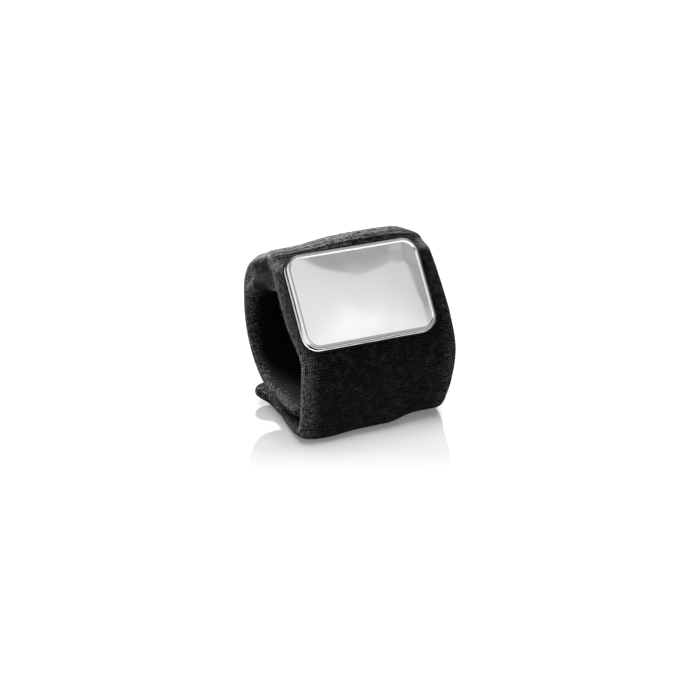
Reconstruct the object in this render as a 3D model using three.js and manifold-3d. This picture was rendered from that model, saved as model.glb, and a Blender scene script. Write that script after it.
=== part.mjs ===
// Magnetic wristband: a knit-covered foam strip wrapped into a cuff and closed by hook and loop,
// with six magnets in a riveted tray under a pressed steel plate that holds pins and small parts.
// Millimetres, +Z up. The cuff stands on its overlap flap, its front faces -Y, the wrist goes along X.
import * as THREE from "three";
import { mergeVertices } from "three/addons/utils/BufferGeometryUtils.js";
import Module from "manifold-3d";

const wasm = await Module();
wasm.setup();

// Padded strip
const bandWidth = 64;
const bandThickness = 5.5;
const knitWall = 0.8;
const tipCornerRadius = 6;
const endThinShare = 0.3;
const flatShare = 0.62;
const crownPower = 3;
const crownShares = [flatShare, 0.8, 0.9, 0.96];

// Clearance between pieces that seat on each other
const fit = 0.3;

// The wrap, seen from the end of the cuff: runs and bends of the strip's middle line
const foldRadius = 3.75;
const frontRun = 15;
const frontBendRadius = 20;
const plateLeanDegrees = 36.4;
const topBendRadius = 3.5;
const topRun = 16.2;
const topSlopeDegrees = 35;
const backBendRadius = 16;
const heelRadius = 28;
const innerEndGap = 1.6;
const flapRun = 24;
const flapCurlRadius = 45;
const flapCurlDegrees = 13;
const flapTipRun = 8;
const hingeInset = 2.4;

// Hook and loop closure between the flap and the inner end
const hookThickness = 0.8;
const loopThickness = 0.7;
const tapeWidth = 50;
const tapeMargin = 4;
const tapeCornerRadius = 2.5;

// Pressed steel cover plate
const plateWidth = 54.4;
const plateHeight = 36.7;
const plateCornerRadius = 6;
const plateOffset = -1.8;
const plateMarginLow = 0.9;
const plateMarginHigh = 1.6;
const sheetThickness = 0.5;
const rimRadius = 1.1;
const rimLand = 0.9;
const panelStep = 0.4;
const stepRun = 0.5;
const beadProud = 0.25;
const beadHeight = 0.6;

// Magnet tray and magnets
const trayFloor = 0.9;
const trayWall = 0.8;
const flangeProud = 0.7;
const flangeThickness = 0.6;
const magnetDiameter = 14;
const magnetThickness = 1.6;
const magnetChamfer = 0.25;
const magnetColumns = 3;
const magnetRows = 2;
const pocketWall = 0.7;
const pocketHeight = 1.1;

// Backing plate and rivets
const backingInset = 4;
const backingThickness = 0.8;
const backingCornerRadius = 3;
const rivetShankDiameter = 2;
const rivetHeadDiameter = 3.4;
const rivetHeadHeight = 0.5;
const rivetCrownShare = 0.6;

// How far a cutting tool runs past what it cuts
const overrun = 2;

// Mesh resolution
const bendStepDegrees = 11;
const foldSteps = 6;
const plateCornerSteps = 6;
const rimSteps = 4;
const roundSteps = 24;

// Materials
const knit = new THREE.MeshStandardMaterial({ color: 0x17181b, roughness: 0.95, metalness: 0 });
const foam = new THREE.MeshStandardMaterial({ color: 0x3a3b3e, roughness: 0.9, metalness: 0 });
const tape = new THREE.MeshStandardMaterial({ color: 0x101113, roughness: 1, metalness: 0 });
const polishedSteel = new THREE.MeshStandardMaterial({ color: 0xd9dadb, roughness: 0.15, metalness: 1 });
const blackPlastic = new THREE.MeshStandardMaterial({ color: 0x141416, roughness: 0.5, metalness: 0 });
const magnetNickel = new THREE.MeshStandardMaterial({ color: 0xb4b4ae, roughness: 0.3, metalness: 1 });
const zincSteel = new THREE.MeshStandardMaterial({ color: 0x9da1a6, roughness: 0.4, metalness: 1 });

const half = (length) => length / 2;
const radians = THREE.MathUtils.degToRad;
const rightAngle = 90;
const quarterTurn = radians(rightAngle);

// In the end view, the direction of a heading and the direction to its left, out of the cuff
const along = (heading) => new THREE.Vector2(Math.cos(heading), Math.sin(heading));
const outward = (heading) => new THREE.Vector2(-Math.sin(heading), Math.cos(heading));

// A closed mesh becomes a solid, whichever way its faces were wound.
function toSolid(geometry) {
  const bare = geometry.index ? geometry.toNonIndexed() : geometry.clone();
  bare.deleteAttribute("normal");
  bare.deleteAttribute("uv");
  const merged = mergeVertices(bare);
  const vertProperties = merged.attributes.position.array;
  const solidOf = (triVerts) => new wasm.Manifold(new wasm.Mesh({ numProp: 3, vertProperties, triVerts }));
  const triVerts = new Uint32Array(merged.index.array);
  const solid = solidOf(triVerts);
  return solid.volume() > 0 ? solid : solidOf(triVerts.slice().reverse());
}

// A solid goes back to a three.js geometry with flat facets.
function toGeometry(solid) {
  const mesh = solid.getMesh();
  const shared = new THREE.BufferGeometry();
  shared.setAttribute("position", new THREE.BufferAttribute(mesh.vertProperties, 3));
  shared.setIndex(new THREE.BufferAttribute(mesh.triVerts, 1));
  const facets = shared.toNonIndexed();
  facets.computeVertexNormals();
  return facets;
}

// Rings with the same number of points become a closed body with flat ends.
function loft(rings) {
  const count = rings[0].length;
  const last = (rings.length - 1) * count;
  const indices = [];
  for (let start = 0; start < last; start += count) {
    for (let j = 0; j < count; j += 1) {
      const k = (j + 1) % count;
      indices.push(start + j, start + k, start + count + k);
      indices.push(start + j, start + count + k, start + count + j);
    }
  }
  for (let j = 1; j < count - 1; j += 1) {
    indices.push(0, j + 1, j);
    indices.push(last, last + j, last + j + 1);
  }
  const geometry = new THREE.BufferGeometry().setFromPoints(rings.flat());
  geometry.setIndex(indices);
  return toSolid(geometry);
}

// The strip's section, x across and n through it: flat in the middle, crowned towards its round folds.
function stripSection(width, thickness) {
  const edge = crownShares.map((share) => {
    const crowned = (share - flatShare) / (1 - flatShare);
    return { x: half(width) * share, n: half(thickness) * Math.sqrt(1 - crowned ** crownPower) };
  });
  const inward = [...edge].reverse();
  return [
    ...edge,
    { x: half(width), n: 0 },
    ...inward.map(({ x, n }) => ({ x, n: -n })),
    ...edge.map(({ x, n }) => ({ x: -x, n: -n })),
    { x: -half(width), n: 0 },
    ...inward.map(({ x, n }) => ({ x: -x, n })),
  ];
}

// Walks runs and bends in the end view (y, z). A positive turn is clockwise.
function walk(start, headingDegrees, legs) {
  const stations = [{ place: start, heading: radians(headingDegrees), leg: "start" }];
  for (const leg of legs) {
    const { place, heading } = stations[stations.length - 1];
    if (leg.run !== undefined) {
      const end = place.clone().addScaledVector(along(heading), leg.run);
      stations.push({ place: end, heading, leg: leg.name });
      continue;
    }
    const steps = Math.ceil(Math.abs(leg.turn) / bendStepDegrees);
    const centre = place.clone().addScaledVector(outward(heading), -leg.radius * Math.sign(leg.turn));
    for (let i = 1; i <= steps; i += 1) {
      const angle = -radians((leg.turn * i) / steps);
      const turned = place.clone().rotateAround(centre, angle);
      stations.push({ place: turned, heading: heading + angle, leg: leg.name });
    }
  }
  return stations;
}

// Ends a strip with rounded corners and a round fold, a given depth inside the full-size end.
function roundEnd(stations, thickness, depth) {
  const end = stations[stations.length - 1];
  const corner = tipCornerRadius - depth;
  const fold = half(thickness);
  const rounded = stations.slice(0, -1);
  for (let i = 0; i <= foldSteps; i += 1) {
    const angle = (quarterTurn * i) / foldSteps;
    const back = corner * (1 - Math.sin(angle));
    const intoFold = Math.max(0, 1 - back / fold);
    rounded.push({
      place: end.place.clone().addScaledVector(along(end.heading), -depth - back),
      heading: end.heading,
      drawIn: corner * (1 - Math.cos(angle)),
      thin: Math.max(Math.sqrt(1 - intoFold * intoFold), endThinShare),
    });
  }
  return rounded;
}

// Sweeps the strip's section along a line, a given depth inside the full-size strip.
function sweepStrip(line, depth) {
  const thickness = bandThickness - 2 * depth;
  const width = bandWidth - 2 * depth;
  const rings = roundEnd(line, thickness, depth).map(({ place, heading, drawIn = 0, thin = 1 }) => {
    return stripSection(width - 2 * drawIn, thickness * thin).map(({ x, n }) => {
      const point = place.clone().addScaledVector(outward(heading), n);
      return new THREE.Vector3(x, point.x, point.y);
    });
  });
  return loft(rings);
}

// The plate's corners in turn, as sides of its middle lines
const plateCorners = [
  [1, 1],
  [-1, 1],
  [-1, -1],
  [1, -1],
];

// A rounded rectangle parallel to the plate, at a level over the knit.
function plateRing(width, height, radius, level) {
  return plateCorners.flatMap(([sideX, sideY], corner) =>
    Array.from({ length: plateCornerSteps + 1 }, (_, i) => {
      const angle = quarterTurn * (corner + i / plateCornerSteps);
      return new THREE.Vector3(
        sideX * (half(width) - radius) + radius * Math.cos(angle),
        sideY * (half(height) - radius) + radius * Math.sin(angle),
        level,
      );
    }),
  );
}

// A body lofted through rounded rectangles, each given as its inset and its level.
function plateLoft(width, height, radius, profile) {
  return loft(
    profile.map(([inset, level]) => plateRing(width - 2 * inset, height - 2 * inset, radius - inset, level)),
  );
}

// A rounded slab between two levels.
function plateSlab(width, height, radius, low, high) {
  const profile = [
    [0, low],
    [0, high],
  ];
  return plateLoft(width, height, radius, profile);
}

// A body turned about the plate's normal from its radii and levels, standing at a place.
function turnedBody(profile, place) {
  const points = profile.map(([radius, level]) => new THREE.Vector2(radius, level));
  const body = new THREE.LatheGeometry(points, roundSteps);
  body.rotateX(quarterTurn);
  body.translate(place.x, place.y, 0);
  return toSolid(body);
}

// A round bar on the plate's normal between two levels.
function roundBar(diameter, low, high, place) {
  const profile = [
    [0, low],
    [half(diameter), low],
    [half(diameter), high],
    [0, high],
  ];
  return turnedBody(profile, place);
}

// Middle line of the cuff, from the fold at the front bottom edge round to its inner end
const foldCentre = foldRadius + half(bandThickness);
const faceRun = plateMarginLow + plateHeight + plateMarginHigh;
const innerEndLevel = bandThickness + hookThickness + loopThickness + 3 * fit + half(bandThickness);
const foldStart = new THREE.Vector2(foldCentre, half(bandThickness));
const legsToBack = [
  { name: "fold", radius: foldRadius, turn: rightAngle },
  { name: "front", run: frontRun },
  { name: "front bend", radius: frontBendRadius, turn: plateLeanDegrees },
  { name: "face", run: faceRun },
  { name: "top bend", radius: topBendRadius, turn: rightAngle - plateLeanDegrees + topSlopeDegrees },
  { name: "top", run: topRun },
  { name: "back bend", radius: backBendRadius, turn: rightAngle - topSlopeDegrees },
];
const backTop = walk(foldStart, 2 * rightAngle, legsToBack).pop().place;
const heelEnd = backTop.x - heelRadius;
const innerEndTip = bandThickness + innerEndGap;
const cuffLine = walk(foldStart, 2 * rightAngle, [
  ...legsToBack,
  { name: "back", run: backTop.y - heelRadius - innerEndLevel },
  { name: "heel", radius: heelRadius, turn: rightAngle },
  { name: "inner end", run: heelEnd - innerEndTip },
]);
const cuffDepth = backTop.x + half(bandThickness);

// Middle line of the flap, from the same fold out under the inner end
const flapStart = new THREE.Vector2(half(bandThickness), foldCentre);
const flapLine = walk(flapStart, 3 * rightAngle, [
  { name: "fold", radius: foldRadius, turn: -rightAngle },
  { name: "flap", run: flapRun },
  { name: "curl", radius: flapCurlRadius, turn: -flapCurlDegrees },
  { name: "tip", run: flapTipRun },
]);
const flapFlatEnd = foldCentre + flapRun;

// Cuff and flap part at a mitre through the hinge line, so that they never meet as the flap opens.
function mitreCutter(forCuff) {
  const near = -overrun;
  const past = foldCentre + overrun;
  const clear = half(fit);
  const corners = [
    [near, near],
    [past, near],
    [past, foldCentre + clear],
    [foldCentre, foldCentre + clear],
    [hingeInset, hingeInset + clear],
    [near, hingeInset + clear],
  ];
  const outline = corners.map(([a, b]) => (forCuff ? new THREE.Vector2(a, b) : new THREE.Vector2(b, a)));
  const depth = bandWidth + 2 * overrun;
  const prism = new THREE.ExtrudeGeometry(new THREE.Shape(outline), { depth, bevelEnabled: false });
  prism.translate(0, 0, -half(depth));
  prism.rotateX(quarterTurn);
  prism.rotateZ(quarterTurn);
  return toSolid(prism);
}

// Levels over the knit, up from the tray's underside to the rim and down to the rivets' tails
const trayFloorTop = fit + trayFloor;
const coverBase = fit + flangeThickness + fit;
const magnetBase = trayFloorTop + fit;
const magnetTop = magnetBase + magnetThickness;
const panelUnderside = magnetTop + fit;
const rimTop = panelUnderside + sheetThickness + panelStep;
const backingTop = -knitWall - fit;
const backingUnderside = backingTop - backingThickness;
const tailTop = backingUnderside - fit;
const tailEnd = tailTop - rivetHeadHeight;

// Tray and magnet layout in the plate's plane
const trayInset = sheetThickness + fit;
const trayCavityWidth = plateWidth - 2 * (trayInset + trayWall);
const trayCavityHeight = plateHeight - 2 * (trayInset + trayWall);
const columnPitch = trayCavityWidth / magnetColumns;
const rowPitch = trayCavityHeight / magnetRows;
const magnetPlaces = [];
for (let row = 0; row < magnetRows; row += 1) {
  for (let column = 0; column < magnetColumns; column += 1) {
    const x = (column - half(magnetColumns - 1)) * columnPitch;
    const y = (row - half(magnetRows - 1)) * rowPitch;
    magnetPlaces.push(new THREE.Vector2(x, y));
  }
}
const rivetReach = half(trayCavityHeight) - half(rivetHeadDiameter) - fit;
const rivetPlaces = plateCorners.map(
  ([sideX, sideY]) => new THREE.Vector2(sideX * half(columnPitch), sideY * rivetReach),
);
const rivetHole = rivetShankDiameter + 2 * fit;

// The plate's own frame: its origin is on the knit under the plate's centre, +Z is the plate's normal.
const faceStart = cuffLine.findLast(({ leg }) => leg === "front bend");
const faceCentre = faceStart.place
  .clone()
  .addScaledVector(along(faceStart.heading), plateMarginLow + half(plateHeight))
  .addScaledVector(outward(faceStart.heading), half(bandThickness));
const plateGroup = new THREE.Group();
plateGroup.position.set(plateOffset, faceCentre.x, faceCentre.y);
plateGroup.rotation.x = faceStart.heading;
plateGroup.updateMatrix();
const ontoFace = (solid) => solid.transform(plateGroup.matrix.elements);

function makeKnitSleeve() {
  let sleeve = sweepStrip(cuffLine, 0).subtract(sweepStrip(cuffLine, knitWall));
  for (const place of rivetPlaces) {
    sleeve = sleeve.subtract(ontoFace(roundBar(rivetHole, backingTop, fit, place)));
  }
  return sleeve.subtract(mitreCutter(true));
}

function makeFoamCore() {
  const pocketWidth = plateWidth - 2 * backingInset + 2 * fit;
  const pocketHeightInFace = plateHeight - 2 * backingInset + 2 * fit;
  const pocketRadius = backingCornerRadius + fit;
  let core = sweepStrip(cuffLine, knitWall + fit).subtract(
    ontoFace(plateSlab(pocketWidth, pocketHeightInFace, pocketRadius, tailTop, fit)),
  );
  for (const place of rivetPlaces) {
    core = core.subtract(ontoFace(roundBar(rivetHeadDiameter + 2 * fit, tailEnd - fit, fit, place)));
  }
  return core.subtract(mitreCutter(true));
}

function makeFlapSleeve() {
  return sweepStrip(flapLine, 0).subtract(sweepStrip(flapLine, knitWall)).subtract(mitreCutter(false));
}

function makeFlapFoam() {
  return sweepStrip(flapLine, knitWall + fit).subtract(mitreCutter(false));
}

// A sewn patch of closure tape lying flat between two depths of the cuff.
function makeTape(from, to, low, thickness) {
  const length = to - from;
  const patch = plateSlab(tapeWidth, length, tapeCornerRadius, low, low + thickness);
  return patch.translate(0, from + half(length), 0);
}

// The cover is one pressing: a sunk panel, a step up to a flat rim, a rolled edge, a wall and a foot bead.
function makeCoverPlate() {
  const landInset = rimRadius + rimLand;
  const panelInset = landInset + stepRun;
  const innerRadius = rimRadius - sheetThickness;
  const profile = [
    [panelInset, rimTop - panelStep],
    [landInset, rimTop],
  ];
  for (let i = 0; i <= rimSteps; i += 1) {
    const angle = (quarterTurn * i) / rimSteps;
    profile.push([rimRadius * (1 - Math.sin(angle)), rimTop - rimRadius * (1 - Math.cos(angle))]);
  }
  profile.push([0, coverBase + beadHeight]);
  profile.push([-beadProud, coverBase + beadHeight - beadProud]);
  profile.push([-beadProud, coverBase]);
  profile.push([sheetThickness, coverBase]);
  for (let i = rimSteps; i >= 0; i -= 1) {
    const angle = (quarterTurn * i) / rimSteps;
    profile.push([
      rimRadius - innerRadius * Math.sin(angle),
      rimTop - rimRadius + innerRadius * Math.cos(angle),
    ]);
  }
  profile.push([landInset, rimTop - sheetThickness]);
  profile.push([panelInset, panelUnderside]);
  return plateLoft(plateWidth, plateHeight, plateCornerRadius, profile);
}

// The tray is one moulding: a flange under the cover's foot, a floor, a wall and a pocket for each magnet.
function makeMagnetTray() {
  const flangeWidth = plateWidth + 2 * flangeProud;
  const flangeHeight = plateHeight + 2 * flangeProud;
  const wallWidth = plateWidth - 2 * trayInset;
  const wallHeight = plateHeight - 2 * trayInset;
  const wallRadius = plateCornerRadius - trayInset;
  const wallTop = panelUnderside - fit;
  const flangeRadius = plateCornerRadius + flangeProud;
  const flange = plateSlab(flangeWidth, flangeHeight, flangeRadius, fit, fit + flangeThickness);
  const block = plateSlab(wallWidth, wallHeight, wallRadius, fit, wallTop);
  const cavityRadius = wallRadius - trayWall;
  const cavityTop = wallTop + overrun;
  const cavity = plateSlab(trayCavityWidth, trayCavityHeight, cavityRadius, trayFloorTop, cavityTop);
  let tray = flange.add(block).subtract(cavity);
  const pocketInner = magnetDiameter + 2 * fit;
  const pocketTop = trayFloorTop + pocketHeight;
  for (const place of magnetPlaces) {
    const ring = roundBar(pocketInner + 2 * pocketWall, half(trayFloorTop), pocketTop, place);
    tray = tray.add(ring.subtract(roundBar(pocketInner, trayFloorTop, pocketTop + overrun, place)));
  }
  for (const place of rivetPlaces) {
    tray = tray.subtract(roundBar(rivetHole, -fit, trayFloorTop + fit, place));
  }
  return tray;
}

function makeMagnet(place) {
  const radius = half(magnetDiameter);
  const profile = [
    [0, magnetBase],
    [radius - magnetChamfer, magnetBase],
    [radius, magnetBase + magnetChamfer],
    [radius, magnetTop - magnetChamfer],
    [radius - magnetChamfer, magnetTop],
    [0, magnetTop],
  ];
  return turnedBody(profile, place);
}

function makeBackingPlate() {
  const width = plateWidth - 2 * backingInset;
  const height = plateHeight - 2 * backingInset;
  let backing = plateSlab(width, height, backingCornerRadius, backingUnderside, backingTop);
  for (const place of rivetPlaces) {
    backing = backing.subtract(roundBar(rivetHole, backingUnderside - fit, backingTop + fit, place));
  }
  return backing;
}

// A rivet's head sits on the tray floor, and its tail is set under the backing plate inside the strip.
function makeRivet(place) {
  const headRadius = half(rivetHeadDiameter);
  const shankRadius = half(rivetShankDiameter);
  const crownRadius = headRadius * rivetCrownShare;
  const profile = [
    [0, tailEnd],
    [crownRadius, tailEnd],
    [headRadius, tailTop],
    [shankRadius, tailTop],
    [shankRadius, trayFloorTop + fit],
    [headRadius, trayFloorTop + fit],
    [crownRadius, trayFloorTop + fit + rivetHeadHeight],
    [0, trayFloorTop + fit + rivetHeadHeight],
  ];
  return turnedBody(profile, place);
}

function addMesh(parent, name, solid, material) {
  const mesh = new THREE.Mesh(toGeometry(solid), material);
  mesh.name = name;
  parent.add(mesh);
}

// The strip's pieces are made with y measured back from the front, and the group centres the cuff.
const wristband = new THREE.Group();
wristband.position.y = -half(cuffDepth);
addMesh(wristband, "knit_sleeve", makeKnitSleeve(), knit);
addMesh(wristband, "foam_core", makeFoamCore(), foam);
addMesh(wristband, "flap_sleeve", makeFlapSleeve(), knit);
addMesh(wristband, "flap_foam", makeFlapFoam(), foam);
const tapeStart = innerEndTip + tapeMargin;
const hookLevel = bandThickness + fit;
const loopLevel = hookLevel + hookThickness + fit;
addMesh(wristband, "hook_tape", makeTape(tapeStart, flapFlatEnd, hookLevel, hookThickness), tape);
addMesh(wristband, "loop_tape", makeTape(tapeStart, heelEnd, loopLevel, loopThickness), tape);
addMesh(plateGroup, "cover_plate", makeCoverPlate(), polishedSteel);
addMesh(plateGroup, "magnet_tray", makeMagnetTray(), blackPlastic);
magnetPlaces.forEach((place, i) => {
  addMesh(plateGroup, `magnet_${i + 1}`, makeMagnet(place), magnetNickel);
});
addMesh(plateGroup, "backing_plate", makeBackingPlate(), zincSteel);
rivetPlaces.forEach((place, i) => {
  addMesh(plateGroup, `rivet_${i + 1}`, makeRivet(place), zincSteel);
});
wristband.add(plateGroup);

export default wristband;
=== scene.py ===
"""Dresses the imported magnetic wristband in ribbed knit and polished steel, and sets its studio.

Lengths in the classes are millimetres, as in the construction, and meshes are made in metres.
"""

from __future__ import annotations

import logging
import math
from dataclasses import dataclass, field
from enum import Enum

import bpy
import numpy as np
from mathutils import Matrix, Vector

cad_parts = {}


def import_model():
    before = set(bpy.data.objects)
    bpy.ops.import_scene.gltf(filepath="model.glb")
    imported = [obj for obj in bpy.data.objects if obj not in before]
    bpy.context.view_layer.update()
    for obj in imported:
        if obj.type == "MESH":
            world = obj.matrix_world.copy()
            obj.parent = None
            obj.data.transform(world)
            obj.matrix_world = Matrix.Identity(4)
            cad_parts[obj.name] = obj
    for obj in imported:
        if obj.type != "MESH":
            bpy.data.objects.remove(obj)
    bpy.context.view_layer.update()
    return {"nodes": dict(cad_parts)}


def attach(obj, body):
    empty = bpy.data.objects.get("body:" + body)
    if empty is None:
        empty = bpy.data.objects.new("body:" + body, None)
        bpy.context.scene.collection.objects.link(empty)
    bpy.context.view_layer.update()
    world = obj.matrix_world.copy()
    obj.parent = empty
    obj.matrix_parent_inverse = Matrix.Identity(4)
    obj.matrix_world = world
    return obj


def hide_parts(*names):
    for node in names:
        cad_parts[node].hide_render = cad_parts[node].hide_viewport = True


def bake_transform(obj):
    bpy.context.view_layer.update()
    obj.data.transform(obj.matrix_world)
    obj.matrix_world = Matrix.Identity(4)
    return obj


LOG = logging.getLogger("wristband")
MM = 0.001
WHITE = (1.0, 1.0, 1.0, 1.0)
Material, Mesh, Object, Socket = bpy.types.Material, bpy.types.Mesh, bpy.types.Object, bpy.types.NodeSocket
Level = float | Socket


def smooth(value: np.ndarray, low: float, high: float) -> np.ndarray:
    """Returns a smooth step from 0 at low to 1 at high."""
    t = np.clip((value - low) / (high - low), 0.0, 1.0)
    return t * t * (3.0 - 2.0 * t)


def plateau(value: np.ndarray, bounds: tuple) -> np.ndarray:
    """Returns 1 between the two middle bounds, falling smoothly to 0 at the two outer ones."""
    start, low, high, end = bounds
    return smooth(value, start, low) * (1.0 - smooth(value, high, end))


def window(value: np.ndarray, low: float, high: float, edge: float) -> np.ndarray:
    """Returns 1 between low and high, falling smoothly to 0 over an edge outside them."""
    return plateau(value, (low - edge, low, high, high + edge))


def eased(along: np.ndarray, origin: float, stations: tuple) -> np.ndarray:
    """Returns a smooth curve through stations of distance from an origin and value."""
    spacing, spread, beyond = 0.25, 12, 10.0
    places, values = np.array(stations).T
    fine = np.arange(places[0] + origin - beyond, places[-1] + origin + beyond, spacing)
    level = np.pad(np.interp(fine, places + origin, values), spread, mode="edge")
    kernel = np.hanning(2 * spread + 1)
    return np.interp(along, fine, np.convolve(level, kernel / kernel.sum(), mode="valid"))


def ripple(u: np.ndarray, v: np.ndarray, scale: float, seed: int, waves: int = 9) -> np.ndarray:
    """Returns an even, soft unevenness made of a few crossing waves.

    Args:
        u: First coordinate, in millimetres.
        v: Second coordinate, in millimetres.
        scale: Typical wavelength, in millimetres.
        seed: Fixed seed for the waves' directions and phases.
        waves: Number of waves.

    Returns:
        Values between about -1 and 1.
    """
    rng = np.random.default_rng(seed)
    total = np.zeros(np.broadcast(u, v).shape)
    for _ in range(waves):
        angle, phase = rng.uniform(0.0, math.tau, 2)
        length = scale * rng.uniform(0.6, 1.7)
        total = total + np.sin((u * math.cos(angle) + v * math.sin(angle)) * math.tau / length + phase)
    return total / math.sqrt(2.0 * waves)


def rounded_outline(size: tuple, radius: float, corner_steps: int, side_steps: int) -> np.ndarray:
    """Returns a rounded rectangle about the origin, counterclockwise.

    Args:
        size: Whole width and height, in millimetres.
        radius: Radius of the corners.
        corner_steps: Steps round each corner.
        side_steps: Steps along each side.

    Returns:
        Points in the plane.
    """
    half = np.array(size) / 2 - radius
    centres = [half * ways for ways in ((1, 1), (-1, 1), (-1, -1), (1, -1))]
    points = []
    for corner, centre in enumerate(centres):
        for i in range(corner_steps + 1):
            angle = math.pi / 2 * (corner + i / corner_steps)
            points.append(centre + radius * np.array([math.cos(angle), math.sin(angle)]))
        last, ahead = points[-1], centres[(corner + 1) % 4] - centre
        points += [last + ahead * i / side_steps for i in range(1, side_steps)]
    return np.array(points)


def new_mesh(name: str, points: np.ndarray, faces: list[tuple[int, ...]]) -> Mesh:
    """Makes a smooth-shaded mesh from points in millimetres and its faces."""
    mesh = bpy.data.meshes.new(name)
    mesh.from_pydata((points * MM).tolist(), [], faces)
    mesh.shade_smooth()
    mesh.validate()
    return mesh


def mark(mesh: Mesh, name: str, values: np.ndarray, kind: str = "FLOAT", domain: str = "POINT") -> None:
    """Writes an attribute of a mesh, with one value or triple for each of its elements."""
    layer = mesh.attributes.new(name, kind, domain)
    data = values.astype(bool if kind == "BOOLEAN" else np.float32).ravel()
    layer.data.foreach_set("vector" if kind == "FLOAT_VECTOR" else "value", data)


def new_object(name: str, mesh: Mesh, material: Material | None = None) -> Object:
    """Links a new object at the origin that shows the mesh in a material."""
    piece = bpy.data.objects.new(name, mesh)
    bpy.context.scene.collection.objects.link(piece)
    if material is not None:
        mesh.materials.append(material)
    return piece


def loft(name: str, top: np.ndarray, rings: list[np.ndarray], foot: np.ndarray) -> Mesh:
    """Makes a closed mesh from a point, the rings that go round it and down, and a last point.

    Args:
        name: Name of the mesh.
        top: First point, in millimetres.
        rings: Rings of as many points each, counterclockwise seen from the first point.
        foot: Last point.

    Returns:
        The new mesh, facing outward.
    """
    count = len(rings[0])
    points = np.vstack([top, *rings, foot])
    last = len(points) - 1
    faces: list[tuple[int, ...]] = []
    for j in range(count):
        k = (j + 1) % count
        faces.append((0, 1 + j, 1 + k))
        for a in range(1, last - count, count):
            faces.append((a + j, a + count + j, a + count + k, a + k))
        faces.append((last - count + j, last, last - count + k))
    return new_mesh(name, points, faces)


def arc(reach: float, rise: float, steps: int = 6) -> list[tuple[float, float]]:
    """Returns a half round from one side over the top to the other."""
    turns = [math.pi * i / steps for i in range(steps + 1)]
    return [(-reach * math.cos(turn), rise * math.sin(turn)) for turn in turns]


def bent_wire(name: str, path: list[tuple[float, float]], half_width: float, half_depth: float) -> Mesh:
    """Makes a short bent wire in the xz plane, in millimetres, with six sides and closed ends."""
    sides = 6
    line = np.array(path)
    tangent = np.gradient(line, axis=0)
    tangent /= np.linalg.norm(tangent, axis=1)[:, None]
    points = []
    for (x, z), (tx, tz) in zip(line, tangent):
        for angle in (math.tau * j / sides for j in range(sides)):
            out = half_depth * math.cos(angle)
            points.append((x + tz * out, half_width * math.sin(angle), z - tx * out))
    faces = [tuple(range(sides))[::-1], tuple(range(len(points) - sides, len(points)))]
    for start in range(0, len(points) - sides, sides):
        for j in range(sides):
            a, b = start + j, start + (j + 1) % sides
            faces.append((a, b, b + sides, a + sides))
    return new_mesh(name, np.array(points), faces)


class NodeSheet:
    """A node tree being written, with short calls for its nodes and links."""

    def __init__(self, tree: bpy.types.NodeTree) -> None:
        """Starts on an emptied tree."""
        self.tree = tree
        tree.nodes.clear()

    def add(self, kind: str, inputs: dict | None = None, **settings) -> bpy.types.Node:
        """Adds a node.

        Args:
            kind: The node's type name.
            inputs: Values or output sockets for inputs, by name or place.
            **settings: The node's own settings.

        Returns:
            The new node.
        """
        node = self.tree.nodes.new(kind)
        for key, value in settings.items():
            setattr(node, key, value)
        for key, value in (inputs or {}).items():
            socket = node.inputs[key]
            if isinstance(value, Socket):
                self.tree.links.new(value, socket)
            else:
                socket.default_value = value
        return node

    def math(self, operation: str, first: Level, second: Level = 0.0, third: Level = 0.0) -> Socket:
        """Adds a math node and returns its result."""
        return self.add("ShaderNodeMath", {0: first, 1: second, 2: third}, operation=operation).outputs[0]

    def plus(self, first: Level, second: Level) -> Socket:
        """Returns the sum of two values."""
        return self.math("ADD", first, second)

    def minus(self, first: Level, second: Level) -> Socket:
        """Returns the difference of two values."""
        return self.math("SUBTRACT", first, second)

    def times(self, first: Level, second: Level) -> Socket:
        """Returns the product of two values."""
        return self.math("MULTIPLY", first, second)

    def scaled(self, value: Level, gain: Level, base: Level) -> Socket:
        """Returns a value times a gain, added to a base."""
        return self.math("MULTIPLY_ADD", value, gain, base)

    def step(self, value: Socket, low: float, high: float) -> Socket:
        """Returns a smooth step of a value between two bounds."""
        inputs = {0: value, 1: low, 2: high}
        return self.add("ShaderNodeMapRange", inputs, interpolation_type="SMOOTHSTEP").outputs[0]

    def along(self, place: Socket, axis: tuple) -> Socket:
        """Returns how far a place or a direction goes along an axis."""
        inputs = {0: place, 1: axis}
        return self.add("ShaderNodeVectorMath", inputs, operation="DOT_PRODUCT").outputs["Value"]

    def kept(self, value: Socket, low: float, high: float) -> Socket:
        """Returns a value kept between two bounds."""
        return self.math("MINIMUM", self.math("MAXIMUM", value, low), high)

    def noise(self, place: Socket, scale: float, detail: float, **more: float) -> Socket:
        """Returns the level of a noise pattern of a scale at a place."""
        inputs = {"Vector": place, "Scale": scale, "Detail": detail, **more}
        return self.add("ShaderNodeTexNoise", inputs).outputs[0]

    def ramp(self, value: Socket, stops: list[tuple[float, tuple]]) -> Socket:
        """Adds a colour ramp with its stops and returns its colour."""
        node = self.add("ShaderNodeValToRGB", {0: value})
        elements = node.color_ramp.elements
        while len(elements) < len(stops):
            elements.new(1.0)
        for element, (place, colour) in zip(elements, stops):
            element.position, element.color = place, colour
        return node.outputs["Color"]


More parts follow.
